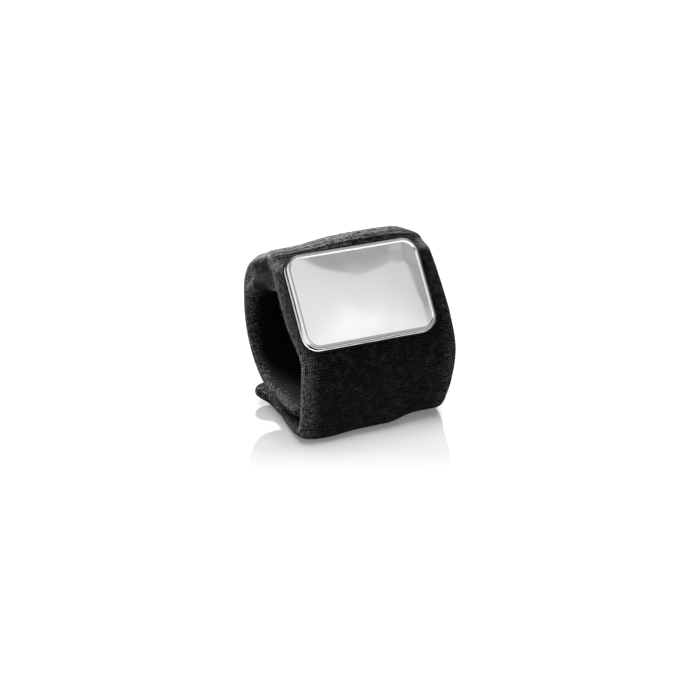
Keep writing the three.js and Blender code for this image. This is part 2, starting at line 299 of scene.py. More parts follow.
class FinishSheet(NodeSheet):
    """The node tree of a new material."""

    def __init__(self, name: str) -> None:
        """Makes the material, and a node for places in the object."""
        self.material = bpy.data.materials.new(name)
        self.material.use_nodes = True
        super().__init__(self.material.node_tree)
        self.place = self.add("ShaderNodeTexCoord").outputs["Object"]

    def relief(self, height: Socket, strength: float, depth: float) -> Socket:
        """Returns the normal of a relief with a depth in metres."""
        inputs = {"Height": height, "Strength": strength, "Distance": depth}
        return self.add("ShaderNodeBump", inputs).outputs[0]

    def finish(self, surface: dict) -> Material:
        """Adds the shader with its inputs and returns the material."""
        shader = self.add("ShaderNodeBsdfPrincipled", surface)
        self.add("ShaderNodeOutputMaterial", {"Surface": shader.outputs[0]})
        return self.material


class TreeSheet(NodeSheet):
    """A Geometry Nodes tree with named inputs, ending in realized instances with a material."""

    def __init__(self, name: str, inputs: dict[str, float | int]) -> None:
        """Makes the tree with a geometry input and output and its named sizes."""
        tree = bpy.data.node_groups.new(name, "GeometryNodeTree")
        super().__init__(tree)
        for way in ("INPUT", "OUTPUT"):
            tree.interface.new_socket("Geometry", in_out=way, socket_type="NodeSocketGeometry")
        self.identifiers: dict[str, str] = {}
        self.patterns: list[Object] = []
        for key, value in inputs.items():
            kind = "NodeSocketInt" if isinstance(value, int) else "NodeSocketFloat"
            socket = tree.interface.new_socket(key, in_out="INPUT", socket_type=kind)
            socket.default_value = value
            self.identifiers[key] = socket.identifier
        self.source = tree.nodes.new("NodeGroupInput")

    def size(self, key: str) -> Socket:
        """Returns the socket of a named input."""
        return self.source.outputs[key]

    def named(self, name: str, kind: str = "FLOAT") -> Socket:
        """Returns a named attribute of the base's points."""
        return self.add("GeometryNodeInputNamedAttribute", {"Name": name}, data_type=kind).outputs[0]

    def chance(self, low: float | tuple, high: float | tuple) -> Socket:
        """Returns a random number, or a turn for bounds of three, from the tree's own seed."""
        kind = "FLOAT_VECTOR" if isinstance(low, tuple) else "FLOAT"
        bounds = {"Min": low, "Max": high, "Seed": self.size("Seed")}
        node = self.add("FunctionNodeRandomValue", bounds, data_type=kind)
        return next(socket for socket in node.outputs if socket.enabled)

    def pattern(self, name: str, mesh: Mesh) -> Socket:
        """Returns the geometry of a shape that the tree repeats, which is cleared away after use."""
        self.patterns.append(new_object(name, mesh))
        return self.add("GeometryNodeObjectInfo", {"Object": self.patterns[-1]}).outputs["Geometry"]

    def finish(self, geometry: Socket, material: Material) -> None:
        """Realizes the instances, sets the material and links the output."""
        real = self.add("GeometryNodeRealizeInstances", {"Geometry": geometry})
        dressed = self.add("GeometryNodeSetMaterial", {"Geometry": real.outputs[0], "Material": material})
        out = self.tree.nodes.new("NodeGroupOutput")
        self.tree.links.new(dressed.outputs[0], out.inputs[0])

    def grow(self, name: str, base: Object, values: dict[str, float | int]) -> Object:
        """Runs the tree on a base object and returns the result as a plain mesh object.

        Args:
            name: Name of the new piece.
            base: Object whose mesh the tree works on. It keeps no modifier.
            values: Values for the named inputs.

        Returns:
            The new object, at the origin.
        """
        modifier = base.modifiers.new("grown", "NODES")
        modifier.node_group = self.tree
        for key, value in values.items():
            modifier[self.identifiers[key]] = value
        graph = bpy.context.evaluated_depsgraph_get()
        mesh = bpy.data.meshes.new_from_object(base.evaluated_get(graph))
        base.modifiers.remove(modifier)
        mesh.name = name
        return new_object(name, mesh)

    def clear(self) -> None:
        """Removes the shapes that the tree repeats."""
        for shape in self.patterns:
            bpy.data.objects.remove(shape)
        self.patterns = []


@dataclass(frozen=True)
class KnitFinish:
    """Black ribbed knit: stitches along each rib, a nap that is coarser on the folds, and a soft sheen. Its
    colour is lighter on the folds as painted sheen and on the top's crest as a painted highlight, and darker
    in the rib valleys, on the inner side and in the hidden parts as painted shade.
    """

    name: str = "ribbed_knit"
    # The lightest stop gives the nap's light fibres, the folds' painted sheen and the crest's painted
    # highlight. The darkest stop gives the painted shade in the rib valleys and the hidden parts.
    deep: tuple = (0.0010, 0.0010, 0.0010, 1.0)
    shade: tuple = (0.0045, 0.0045, 0.0046, 1.0)
    light_tone: tuple = (0.086, 0.089, 0.093, 1.0)
    stops: tuple = (0.52, 0.66, 0.84)
    rib_pitch: float = 1.05
    stitch_pitch: float = 0.86
    stitch_slant: float = 1.1
    stitch_shift: float = 0.37
    stitch_drift: float = 2.2
    stitch_depth: float = 0.16
    nap_size: float = 1.1
    nap_depth: float = 0.5
    even_tone: float = 0.632
    cloud_tone: float = 0.06
    valley_shade_tone: float = 0.34
    dash_shift: float = 5.7
    dash_gain: float = 4.5
    dash_base: float = -1.9
    flat_relief: float = 0.75
    fold_relief: float = 1.1
    flat_contrast: float = 0.14
    fold_contrast: float = 0.95
    painted_sheen_tone: float = 0.035
    painted_shade_tone: float = -0.10
    sheen: float = 0.014

    def make(self) -> Material:
        """Builds the material on the piece's own map, which is in metres along and round the strip."""
        sheet = FinishSheet(self.name)
        size = 1.0 / (self.nap_size * MM)
        strip = sheet.add("ShaderNodeUVMap", uv_map="strip").outputs[0]
        along, around = sheet.add("ShaderNodeSeparateXYZ", {0: strip}).outputs[:2]
        rib = sheet.times(along, 1.0 / (self.rib_pitch * MM))
        number = sheet.math("FLOOR", rib)
        from_crest = sheet.math("ABSOLUTE", sheet.minus(sheet.math("FRACT", rib), 0.5))
        valley = sheet.math("POWER", sheet.times(from_crest, 2.0), 2.0)

        stitch = sheet.times(around, 1.0 / (self.stitch_pitch * MM))
        stitch = sheet.scaled(sheet.noise(sheet.place, size / 4.0, 1.0), self.stitch_drift, stitch)
        stitch = sheet.scaled(number, self.stitch_shift, stitch)
        stitch = sheet.scaled(from_crest, self.stitch_slant, stitch)
        wave = sheet.math("SINE", sheet.times(stitch, math.tau))
        nap = sheet.noise(sheet.place, size, 4.0, Roughness=0.75)
        fluff = sheet.noise(sheet.place, 3.1 * size, 2.0)
        grain = sheet.scaled(wave, self.stitch_depth, sheet.plus(nap, fluff))

        reach = sheet.times(around, size / 3.0)
        spot = sheet.add("ShaderNodeCombineXYZ", {0: sheet.times(number, self.dash_shift), 1: reach})
        dash = sheet.noise(spot.outputs[0], 1.0, 2.0)
        broken = sheet.math("MAXIMUM", sheet.scaled(dash, self.dash_gain, self.dash_base), 0.0)

        # fold brings the coarser nap with its painted sheen and highlight; inner brings the painted shade.
        fold, inner = (
            sheet.add("ShaderNodeAttribute", attribute_name=key).outputs["Fac"] for key in ("fold", "inner")
        )
        height = sheet.times(grain, sheet.scaled(fold, self.fold_relief, self.flat_relief))
        contrast = sheet.scaled(fold, self.fold_contrast, self.flat_contrast)
        level = sheet.times(sheet.minus(grain, 1.0), contrast)
        cloud = sheet.noise(sheet.place, size / 9.0, 3.0)
        level = sheet.plus(level, sheet.scaled(cloud, self.cloud_tone, self.even_tone))
        # Darker in broken dashes along the rib valleys: painted shade in the recesses between ribs.
        level = sheet.scaled(sheet.times(valley, broken), -self.valley_shade_tone, level)
        # Lighter on the folds and the crest: painted sheen on the side folds and a painted highlight on the
        # top's crest.
        level = sheet.scaled(fold, self.painted_sheen_tone, level)
        # Darker where inner is high: painted shade on the inner side, in the hidden parts and the shaded
        # corner, lifted on the crest as a painted highlight.
        tone = sheet.scaled(inner, self.painted_shade_tone, level)
        colours = list(zip(self.stops, (self.deep, self.shade, self.light_tone)))
        return sheet.finish(
            {
                "Base Color": sheet.ramp(tone, colours),
                "Roughness": 0.95,
                "Specular IOR Level": 0.015,
                "Sheen Weight": self.sheen,
                "Sheen Roughness": 0.55,
                "Sheen Tint": (0.80, 0.83, 0.87, 1.0),
                "Normal": sheet.relief(height, 0.9, self.nap_depth * MM),
            }
        )


@dataclass(frozen=True)
class FibreFinish:
    """Loose fibres of the knit, the nylon of hooks and loops, and sewing thread."""

    name: str
    shade: tuple
    sheen: float = 0.16
    roughness: float = 0.7
    gloss: float = 0.5
    lighter: float = 2.6

    def make(self) -> Material:
        """Builds the material with a slight change of tone from fibre to fibre."""
        sheet = FinishSheet(self.name)
        noise = sheet.noise(sheet.place, 900.0, 1.0)
        light = (*(self.lighter * part for part in self.shade[:3]), 1.0)
        return sheet.finish(
            {
                "Base Color": sheet.ramp(noise, [(0.4, self.shade), (0.7, light)]),
                "Roughness": self.roughness,
                "Specular IOR Level": self.gloss,
                "Sheen Weight": self.sheen,
            }
        )


@dataclass(frozen=True)
class WovenFinish:
    """Plain black woven tape, on the object's own coordinates."""

    name: str = "woven_tape"
    shade: tuple = (0.0015, 0.0015, 0.0017, 1.0)
    light_tone: tuple = (0.0065, 0.0065, 0.007, 1.0)
    thread: float = 0.42
    depth: float = 0.12

    def make(self) -> Material:
        """Builds the weave from two crossing sets of threads."""
        sheet = FinishSheet(self.name)
        turns = math.tau / (self.thread * MM)
        split = sheet.add("ShaderNodeSeparateXYZ", {0: sheet.place})
        warp, weft = (sheet.math("SINE", sheet.times(way, turns)) for way in split.outputs[:2])
        weave = sheet.scaled(sheet.times(warp, weft), 0.5, 0.5)
        return sheet.finish(
            {
                "Base Color": sheet.ramp(weave, [(0.2, self.shade), (0.9, self.light_tone)]),
                "Roughness": 0.85,
                "Specular IOR Level": 0.02,
                "Sheen Weight": 0.008,
                "Normal": sheet.relief(weave, 0.8, self.depth * MM),
            }
        )


@dataclass(frozen=True)
class SteelFinish:
    """Metal with fine handling marks: a base tone, a roughness range and a mark scale."""

    name: str
    shade: tuple
    smooth_spot: float
    rough_spot: float
    cloud_scale: float = 60.0
    mark_scale: tuple = (90.0, 4200.0, 4200.0)
    mark_depth: float = 0.004

    def make(self) -> Material:
        """Builds the metal with clouded gloss and hairline marks."""
        sheet = FinishSheet(self.name)
        cloud = sheet.noise(sheet.place, self.cloud_scale, 4.0)
        drawn = sheet.add("ShaderNodeMapping", {"Vector": sheet.place, "Scale": self.mark_scale})
        hair = sheet.noise(drawn.outputs[0], 1.0, 2.0)
        spots = {"Value": cloud, 1: 0.3, 2: 0.7, 3: self.smooth_spot, 4: self.rough_spot}
        return sheet.finish(
            {
                "Base Color": self.shade,
                "Metallic": 1.0,
                "Roughness": sheet.add("ShaderNodeMapRange", spots).outputs[0],
                "Normal": sheet.relief(hair, 0.35, self.mark_depth * MM),
            }
        )


@dataclass(frozen=True)
class PlasticFinish:
    """Moulded black plastic with a fine satin texture."""

    name: str = "moulded_black"
    shade: tuple = (0.004, 0.004, 0.0045, 1.0)
    grain_scale: float = 2600.0
    grain_depth: float = 0.03

    def make(self) -> Material:
        """Builds the plastic with a grained surface."""
        sheet = FinishSheet(self.name)
        grain = sheet.noise(sheet.place, self.grain_scale, 2.0)
        gloss = sheet.add("ShaderNodeMapRange", {"Value": grain, 3: 0.6, 4: 0.8}).outputs[0]
        return sheet.finish(
            {
                "Base Color": self.shade,
                "Roughness": gloss,
                "Specular IOR Level": 0.15,
                "Normal": sheet.relief(grain, 0.3, self.grain_depth * MM),
            }
        )


@dataclass(frozen=True)
class Leg:
    """A run or a bend of the strip's middle line, with its length and its clockwise turn in radians."""

    name: str
    length: float
    turn: float = 0.0


@dataclass(frozen=True)
class Wrap:
    """The strip's middle line in the end view, with the construction's own runs and bends."""

    width: float = 64.0
    thickness: float = 5.5
    tip_radius: float = 6.0
    fold_radius: float = 3.75
    front_run: float = 15.0
    front_bend_radius: float = 20.0
    plate_lean: float = 36.4
    face_run: float = 39.2
    top_bend_radius: float = 3.5
    top_run: float = 16.2
    top_slope: float = 35.0
    back_bend_radius: float = 16.0
    heel_radius: float = 28.0
    inner_end_gap: float = 1.6
    inner_end_level: float = 10.65
    flap_run: float = 24.0
    curl_radius: float = 45.0
    curl: float = 13.0
    tip_run: float = 8.0
    hinge_inset: float = 2.4

    @staticmethod
    def bend(name: str, radius: float, degrees: float) -> Leg:
        """Returns a bend of a radius and a clockwise turn in degrees."""
        turn = math.radians(degrees)
        return Leg(name, radius * abs(turn), turn)

    def legs(self) -> list[Leg]:
        """Returns all runs and bends, from the flap's tip round to the inner end."""
        flap = [
            Leg("tip", self.tip_run),
            self.bend("curl", self.curl_radius, self.curl),
            Leg("flap", self.flap_run),
        ]
        to_back = [
            self.bend("fold", self.fold_radius, 90.0),
            Leg("front", self.front_run),
            self.bend("front bend", self.front_bend_radius, self.plate_lean),
            Leg("face", self.face_run),
            self.bend("top bend", self.top_bend_radius, 90.0 - self.plate_lean + self.top_slope),
            Leg("top", self.top_run),
            self.bend("back bend", self.back_bend_radius, 90.0 - self.top_slope),
        ]
        start = (self.fold_radius + self.thickness / 2, self.thickness / 2)
        corner = StripLine(start, 180.0, to_back)
        back_y, back_z, _ = corner.spot(corner.length)
        heel_end = back_y - self.heel_radius
        rest = [
            Leg("back", back_z - self.heel_radius - self.inner_end_level),
            self.bend("heel", self.heel_radius, 90.0),
            Leg("inner end", heel_end - self.thickness - self.inner_end_gap),
        ]
        return flap + to_back + rest

    def line(self) -> StripLine:
        """Returns the whole middle line, placed so that the flap lies on the floor and y is centred."""
        legs = self.legs()
        heading = 180.0 + self.curl
        loose = StripLine((0.0, 0.0), heading, legs)
        y, z, _ = loose.spot(loose.start_of("fold"))
        start = (self.fold_radius + self.thickness / 2 - y, self.thickness / 2 - z)
        back_y, _, _ = StripLine(start, heading, legs).spot(loose.start_of("back"))
        depth = back_y + self.thickness / 2
        return StripLine((start[0] - depth / 2, start[1]), heading, legs)


class StripLine:
    """Places, headings and curvature along a chain of runs and bends, by arc length."""

    def __init__(self, start: tuple[float, float], heading: float, legs: list[Leg]) -> None:
        """Walks the legs from a start with a heading in degrees."""
        self.legs = legs
        self.starts = [0.0]
        self.states = [(start[0], start[1], math.radians(heading))]
        for leg in legs:
            self.states.append(self.step(self.states[-1], leg, leg.length))
            self.starts.append(self.starts[-1] + leg.length)
        self.length = self.starts[-1]

    @staticmethod
    def step(state: tuple, leg: Leg, along: float | np.ndarray) -> tuple:
        """Returns the place and heading at a distance along a leg."""
        y, z, heading = state
        if leg.turn == 0.0:
            return y + along * math.cos(heading), z + along * math.sin(heading), heading
        curvature = -leg.turn / leg.length
        turned = heading + curvature * along
        dy = (np.sin(turned) - math.sin(heading)) / curvature
        dz = -(np.cos(turned) - math.cos(heading)) / curvature
        return y + dy, z + dz, turned

    def start_of(self, name: str) -> float:
        """Returns the arc length at which a named leg starts."""
        return self.starts[[leg.name for leg in self.legs].index(name)]

    def end_of(self, name: str) -> float:
        """Returns the arc length at which a named leg ends."""
        return self.starts[[leg.name for leg in self.legs].index(name) + 1]

    def middle_of(self, name: str) -> float:
        """Returns the arc length at the middle of a named leg."""
        return (self.start_of(name) + self.end_of(name)) / 2

    def at(self, along: np.ndarray) -> tuple[np.ndarray, np.ndarray, np.ndarray, np.ndarray]:
        """Returns y, z, heading and curvature at arc lengths, which may lie a little past the ends."""
        y, z, heading, curvature = (np.zeros(along.shape) for _ in range(4))
        bounds = [-math.inf, *self.starts[1:-1], math.inf]
        for i, leg in enumerate(self.legs):
            inside = (along >= bounds[i]) & (along < bounds[i + 1])
            state = self.step(self.states[i], leg, along[inside] - self.starts[i])
            y[inside], z[inside], heading[inside] = state
            curvature[inside] = -leg.turn / leg.length
        return y, z, heading, curvature

    def spot(self, along: float) -> tuple[float, float, float]:
        """Returns y, z and heading at one arc length."""
        y, z, heading, _ = self.at(np.array([along]))
        return float(y[0]), float(z[0]), float(heading[0])


@dataclass
class KnitStrip:
    """The padded knit strip: a cuff piece and a flap piece that meet in a valley between two ribs.

    The tables for edges and corners hold pairs of arc length from a bend and how far the knit moves there.
    The top's dip and its crest, where the knit gets a painted highlight, have the bounds of a plateau about
    the top bend's middle and about its start. The last values say how much the lighter nap, whose lightness
    is painted sheen, is calmed, and how dark the knit's painted shade is, in each place.
    """

    wrap: Wrap = field(default_factory=Wrap)
    rib_pitch: float = 1.05
    rib_depth: float = 0.17
    rib_dash: float = 3.4
    rib_drift: float = 0.16
    rows_per_rib: int = 4
    flat_share: float = 0.84
    crown_power: float = 2.5
    flat_spacing: float = 1.6
    fold_spacing: float = 0.62
    end_thin: float = 0.22
    split_rise: float = 13.0
    blend_reach: float = 2.6
    fuzz_per_mm2: float = 1.6
    fuzz_length: float = 0.75
    fuzz_shortest: float = 0.35
    fuzz_bared: float = 0.9
    fuzz_lean: float = 0.9
    fibre_half_width: float = 0.028
    fibre_path: tuple = ((0.0, -0.12), (0.16, 0.42), (0.5, 0.8))
    top_dip: tuple = (-9.5, -2.5, 4.0, 15.0)
    top_dip_left: float = 1.7
    top_dip_right: float = 3.6
    right_edge_spread: tuple = (
        (-40.0, 0.0), (-30.0, -2.6), (-22.0, -1.2), (-14.0, 0.2), (-6.0, 1.5), (2.0, 2.2), (9.0, 2.6),
        (18.0, 2.4), (28.0, 1.9), (38.0, 0.9), (46.0, 0.0),
    )
    right_corner_sink: tuple = ((-16.0, 0.0), (-7.0, 2.2), (0.0, 4.2), (5.0, 2.4), (10.0, 0.5), (16.0, 0.0))
    right_corner_rise: tuple = (0.25, 0.57)
    right_corner_pinch: float = 0.9
    left_corner_sink: tuple = ((-9.0, 0.0), (0.0, 1.3), (7.0, 0.0))
    left_edge_draw: tuple = (
        (-28.0, 0.0), (-20.0, 0.4), (-12.0, 0.6), (-7.0, 1.1), (-3.0, 1.9), (1.0, 1.9), (5.0, 1.3),
        (9.0, 0.6), (16.0, 0.0),
    )
    flap_edge_draw: tuple = (
        (-48.0, -1.6), (-44.0, -1.4), (-41.0, -0.6), (-38.0, 0.9), (-35.0, 2.3), (-32.0, 2.9),
        (-23.0, 2.5), (-15.0, 1.3), (-7.0, 0.4), (0.0, 0.0),
    )
    soft_rise: float = 0.16
    soft_wave: float = 17.0
    bunch_front: float = 12.3
    bunch_back: float = 34.3
    bunch_drop: tuple = (7.0, -10.8)
    bunch_push: float = 2.4
    bunch_pull: float = 0.9
    bunch_least: float = 0.35
    crest: tuple = (-6.0, -2.0, 6.0, 22.0)
    # The folds' painted sheen, calmed where hidden or shaded, and the painted shade: on the inner side,
    # weaker on the back and on the folds, and in the hidden parts, the shaded corner and at the ends.
    hidden_calm: float = 0.3
    shaded_calm: float = 0.7
    back_turn: float = 0.4
    fold_light: float = 0.8
    hidden_dark: float = 0.8
    shaded_dark: float = 0.45
    end_dark: float = 1.5

    def __post_init__(self) -> None:
        """Works out the line, the rib count and the section."""
        self.line = self.wrap.line()
        self.ribs = round(self.line.length / self.rib_pitch)
        self.pitch = self.line.length / self.ribs
        split = self.line.start_of("front") + self.split_rise
        self.split_row = round(split / self.pitch) * self.rows_per_rib
        self.share_x, self.share_n, self.round_about = self.section()

    def section(self) -> tuple[np.ndarray, np.ndarray, np.ndarray]:
        """Samples the strip's section, from the middle of its inner side round by the right fold.

        Returns:
            Shares of the half width and of the half thickness, and the distance round in millimetres.
        """
        samples = 800
        t = np.sin(np.linspace(0.0, math.pi / 2, samples))
        crowned = np.clip((t - self.flat_share) / (1.0 - self.flat_share), 0.0, 1.0)
        level = np.sqrt(1.0 - crowned**self.crown_power)
        x = np.concatenate([t, t[::-1], -t, -t[::-1]])
        n = np.concatenate([-level, level[::-1], level, -level[::-1]])
        steps = np.hypot(np.diff(x) * self.wrap.width / 2, np.diff(n) * self.wrap.thickness / 2)
        length = np.concatenate([[0.0], np.cumsum(steps)])
        by_fold = smooth(np.abs(x), 0.72, 0.88)
        spacing = self.flat_spacing + (self.fold_spacing - self.flat_spacing) * by_fold
        pace = np.concatenate([[0.0], np.cumsum(steps * 2.0 / (spacing[1:] + spacing[:-1]))])
        count = 4 * round(pace[-1] / 4)
        wanted = np.arange(count) * pace[-1] / count
        return np.interp(wanted, pace, x), np.interp(wanted, pace, n), np.interp(wanted, pace, length)

    def from_end(self, along: np.ndarray) -> np.ndarray:
        """Returns the arc length to the nearer end of the strip."""
        return np.minimum(along, self.line.length - along)

    def surface(self, along: np.ndarray, x: np.ndarray, n: np.ndarray) -> np.ndarray:
        """Places points of the strip in the object.

        Args:
            along: Arc length on the middle line.
            x: Share of the half width, -1 at the left fold and 1 at the right one.
            n: Share of the half thickness, 1 on the outer side.

        Returns:
            Points in millimetres, with a last axis of three.
        """
        wrap, line = self.wrap, self.line
        corner, fold = wrap.tip_radius, wrap.thickness / 2
        back = self.from_end(along)
        draw_in = corner * (1.0 - np.sqrt(1.0 - np.clip(1.0 - back / corner, 0.0, 1.0) ** 2))
        thin = np.sqrt(1.0 - np.clip(1.0 - back / fold, 0.0, 1.0) ** 2)
        thin = np.maximum(thin, self.end_thin)

        bottom, knee = line.middle_of("fold"), line.start_of("face")
        dips = self.top_dip_left * smooth(-x, 0.1, 0.72) + self.top_dip_right * smooth(x, 0.62, 1.0)
        sink = dips * plateau(along - line.middle_of("top bend"), self.top_dip)
        to_middle, to_right = self.right_corner_rise
        rising = to_middle * smooth(x, -0.8, -0.1) + to_right * smooth(x, 0.1, 0.6)
        pinched = 1.0 - self.right_corner_pinch * smooth(-n, 0.0, 0.8)
        sink = sink + eased(along, bottom, self.right_corner_sink) * rising * pinched
        sink = sink + eased(along, bottom, self.left_corner_sink) * smooth(-x, 0.6, 1.0)
        drawn = eased(along, knee, self.left_edge_draw) + eased(along, bottom, self.flap_edge_draw)
        spread = eased(along, knee, self.right_edge_spread) * smooth(x, 0.15, 1.0)
        spread = spread + drawn * smooth(-x, 0.5, 1.0)

        lumps = ripple(along, x * wrap.width / 2, self.soft_wave, 3)
        soft = self.soft_rise * lumps * window(np.abs(x), 0.0, 0.8, 0.2)
        plated = window(along, knee, line.end_of("face"), 1.5) * (1.0 - smooth(np.abs(x), 0.9, 1.0))
        lying = window(along, line.start_of("flap"), line.end_of("flap"), 1.5)
        soft = soft * (1.0 - np.maximum(plated, lying))
        offset = n * fold * thin - sink + soft * np.sign(n) * np.sqrt(np.abs(n))
        across = x * (wrap.width / 2 - draw_in) + spread
        y, z, heading, _ = line.at(along)
        plain = np.stack([y - np.sin(heading) * offset, z + np.cos(heading) * offset], axis=-1)
        bunched, push = self.bunch(along, x, n, plain, sink)
        return np.concatenate([(across + push)[..., None], bunched], axis=-1)

    def bunch(
        self, along: np.ndarray, x: np.ndarray, n: np.ndarray, plain: np.ndarray, sink: np.ndarray
    ) -> tuple[np.ndarray, np.ndarray]:
        """Fills the inner corner under the top bend, where the padding bunches up.

        Args:
            along: Arc length on the middle line.
            x: Share of the half width.
            n: Share of the half thickness.
            plain: Points in the end view without the bunching, with a last axis of two.
            sink: How far the strip lies under its own line there.

        Returns:
            The points with the bunching, and how far it pushes them sideways.
        """
        line = self.line
        first = line.start_of("top bend") - self.bunch_front
        last = line.end_of("top bend") + self.bunch_back
        corners = []
        for place, share in ((first, 0.0), (line.middle_of("top bend"), 0.5), (last, 0.0)):
            y, z, heading = line.spot(place)
            depth = -self.wrap.thickness / 2 - share * sink
            corners.append(np.stack([y - math.sin(heading) * depth, z + math.cos(heading) * depth], axis=-1))
        start, control, end = corners
        control = control + np.array(self.bunch_drop)
        t = np.clip((along - first) / (last - first), 0.0, 1.0)[..., None]
        filled = (1.0 - t) ** 2 * start + 2.0 * t * (1.0 - t) * control + t**2 * end
        weight = smooth(-n, 0.1, 0.97) * window(along, first + 2.0, last - 3.0, 2.0)
        least = self.bunch_least
        weight = weight * (least + (1.0 - least) * smooth(np.abs(x), 0.45, 0.85))
        push = self.bunch_push * window(-n, 0.62, 0.86, 0.25) - self.bunch_pull * window(-n, 0.4, 0.45, 0.12)
        push = push * np.sign(x) * window(along, first + 6.0, last - 10.0, 6.0) * smooth(np.abs(x), 0.8, 0.9)
        return plain + weight[..., None] * (filled - plain), push

    def grid(self, first: int, last: int) -> tuple[np.ndarray, np.ndarray, np.ndarray]:
        """Returns points, arc lengths and rib gains of the rows from first to last, both included."""
        rows = np.arange(first, last + 1) * self.pitch / self.rows_per_rib
        along = np.repeat(rows[:, None], len(self.share_x), axis=1)
        x, n = (np.broadcast_to(share, along.shape) for share in (self.share_x, self.share_n))
        ends = self.from_end(along)
        drift = self.rib_drift * ripple(along, self.round_about[None, :], 26.0, 11)
        placed = along + drift * smooth(ends, 2.0, 9.0)
        points = self.surface(placed, x, n)
        _, _, _, curvature = self.line.at(placed)
        stretch = 1.0 - curvature * n * self.wrap.thickness / 2
        spacing = np.linalg.norm(np.gradient(points, axis=0), axis=-1) * self.rows_per_rib / self.pitch
        gain = np.clip(stretch, 0.25, 1.1) * smooth(ends, 0.2, 2.4) * smooth(spacing, 0.3, 0.85)
        return points, along, gain

    def tube(self, name: str, first: int, last: int) -> Object:
        """Builds one closed length of the strip with its map and rib attributes."""
        wide, _, _ = self.grid(first - 1, last + 1)
        points, along, gain = self.grid(first, last)
        index = np.arange(along.size).reshape(along.shape)
        beside = np.roll(index, -1, axis=1)
        quads = np.stack([index[:-1], index[1:], beside[1:], beside[:-1]], axis=-1).reshape(-1, 4)
        caps = self.cap(index[0]) + [face[::-1] for face in self.cap(index[-1])]
        mesh = new_mesh(name, points.reshape(-1, 3), quads.tolist() + caps)
        across = self.distance_round(points)
        self.lay_map(mesh, along, across, len(quads))
        # fold carries the coarser nap with its painted sheen and the crest's painted highlight; inner
        # carries the painted shade.
        fold, inner = self.tones(along)
        measures = {"along": along * MM, "across": across * MM, "gain": gain, "fold": fold, "inner": inner}
        for key, values in measures.items():
            mark(mesh, key, values)
        around = np.roll(points, -1, axis=1) - np.roll(points, 1, axis=1)
        outward = np.cross(wide[2:] - wide[:-2], around)
        outward /= np.maximum(np.linalg.norm(outward, axis=2, keepdims=True), 1e-9)
        mark(mesh, "outward", outward, "FLOAT_VECTOR")
        pairs = np.zeros(2 * len(mesh.edges), np.int32)
        mesh.edges.foreach_get("vertices", pairs)
        sharp = np.isin(pairs.reshape(-1, 2), (index[0], index[-1])).all(axis=1)
        mark(mesh, "sharp_edge", sharp, "BOOLEAN", "EDGE")
        return new_object(name, mesh)

    def lay_map(self, mesh: Mesh, along: np.ndarray, across: np.ndarray, quads: int) -> None:
        """Lays the map, in metres along and round the strip, with its seam on the inner side."""
        loops = np.zeros(len(mesh.loops), np.int32)
        mesh.loops.foreach_get("vertex_index", loops)
        places = np.stack([along.ravel()[loops], across.ravel()[loops]], axis=-1) * MM
        columns = along.shape[1]
        seam = np.arange(quads) % columns == columns - 1
        sides = places[: 4 * quads, 1]
        sides[np.repeat(seam, 4) & (sides < 0.0)] += self.girth() * MM
        mesh.uv_layers.new(name="strip").data.foreach_set("uv", places.astype(np.float32).ravel())

    def tones(self, along: np.ndarray) -> tuple[np.ndarray, np.ndarray]:
        """Works out how the knit's tone changes over the strip, with its painted sheen, highlight and shade.

        Args:
            along: Arc length of each point.

        Returns:
            How coarse and light the nap is, most on the side folds, where it is coarser and its lightness is
            painted sheen, and on the top's crest, where it is a painted highlight stronger on the left; and
            how dark the painted shade makes the knit, most on the inner side, inside the closed fold, in the
            corner under the top bend and at the ends, and less on the crest, where the painted highlight
            lifts it.
        """
        line, x, n = self.line, self.share_x, self.share_n
        top = line.start_of("top bend")
        # Hidden: inside the closed fold and the wrap's inner end. Shaded: the corner under the top bend.
        # Both get painted shade.
        in_fold = 1.0 - smooth(along, line.start_of("fold"), line.start_of("front"))
        in_wrap = smooth(along, line.start_of("heel") - 6.0, line.start_of("inner end"))
        hidden = np.maximum(in_fold, in_wrap)
        shaded = window(along, top - 5.0, top + 16.0, 6.0) * smooth(-n, -0.45, 0.35)
        # The crest's painted highlight, stronger on the left, where the light falls.
        light_tone = 0.5 + 0.3 * smooth(-x, -0.4, 0.3) + 0.2 * smooth(-x, 0.3, 0.7)
        crest = light_tone * plateau(along - top, self.crest) * (n > 0.3)
        sides = np.broadcast_to(smooth(np.abs(x), 0.76, 0.97), along.shape)
        calmed = (1.0 - self.hidden_calm * hidden) * (1.0 - self.shaded_calm * shaded)
        fold = np.maximum(sides * calmed, crest)

        back = smooth(along, line.start_of("back bend"), line.start_of("back"))
        # Painted shade on the inner side, weaker on the back and less on the lighter folds.
        painted_inner_shade = smooth(-n - self.back_turn * back, -0.2, 0.8) * (1.0 - self.fold_light * fold)
        # The painted highlight that lifts the crest, strongest on the left.
        painted_crest_highlight = 0.5 + 0.3 * smooth(-x, -0.2, 0.4) + 0.4 * smooth(-x, 0.4, 0.8)
        at_end = 1.0 - smooth(self.from_end(along), 0.3, 1.4)
        # Painted shade in the hidden parts, in the shaded corner and at the strip's ends.
        painted_extra_shade = self.hidden_dark * hidden + self.shaded_dark * shaded + self.end_dark * at_end
        return fold, painted_inner_shade - painted_crest_highlight * crest + painted_extra_shade

    @staticmethod
    def distance_round(points: np.ndarray) -> np.ndarray:
        """Returns each point's distance round its own row, measured from the middle of the outer side."""
        steps = np.linalg.norm(np.diff(points, axis=1), axis=2)
        reach = np.concatenate([np.zeros((len(points), 1)), np.cumsum(steps, axis=1)], axis=1)
        half_way = points.shape[1] // 2
        return reach - reach[:, half_way : half_way + 1]

    def girth(self) -> float:
        """Returns the distance round the strip's section."""
        return float(self.round_about[-1] + self.round_about[1] - self.round_about[0])

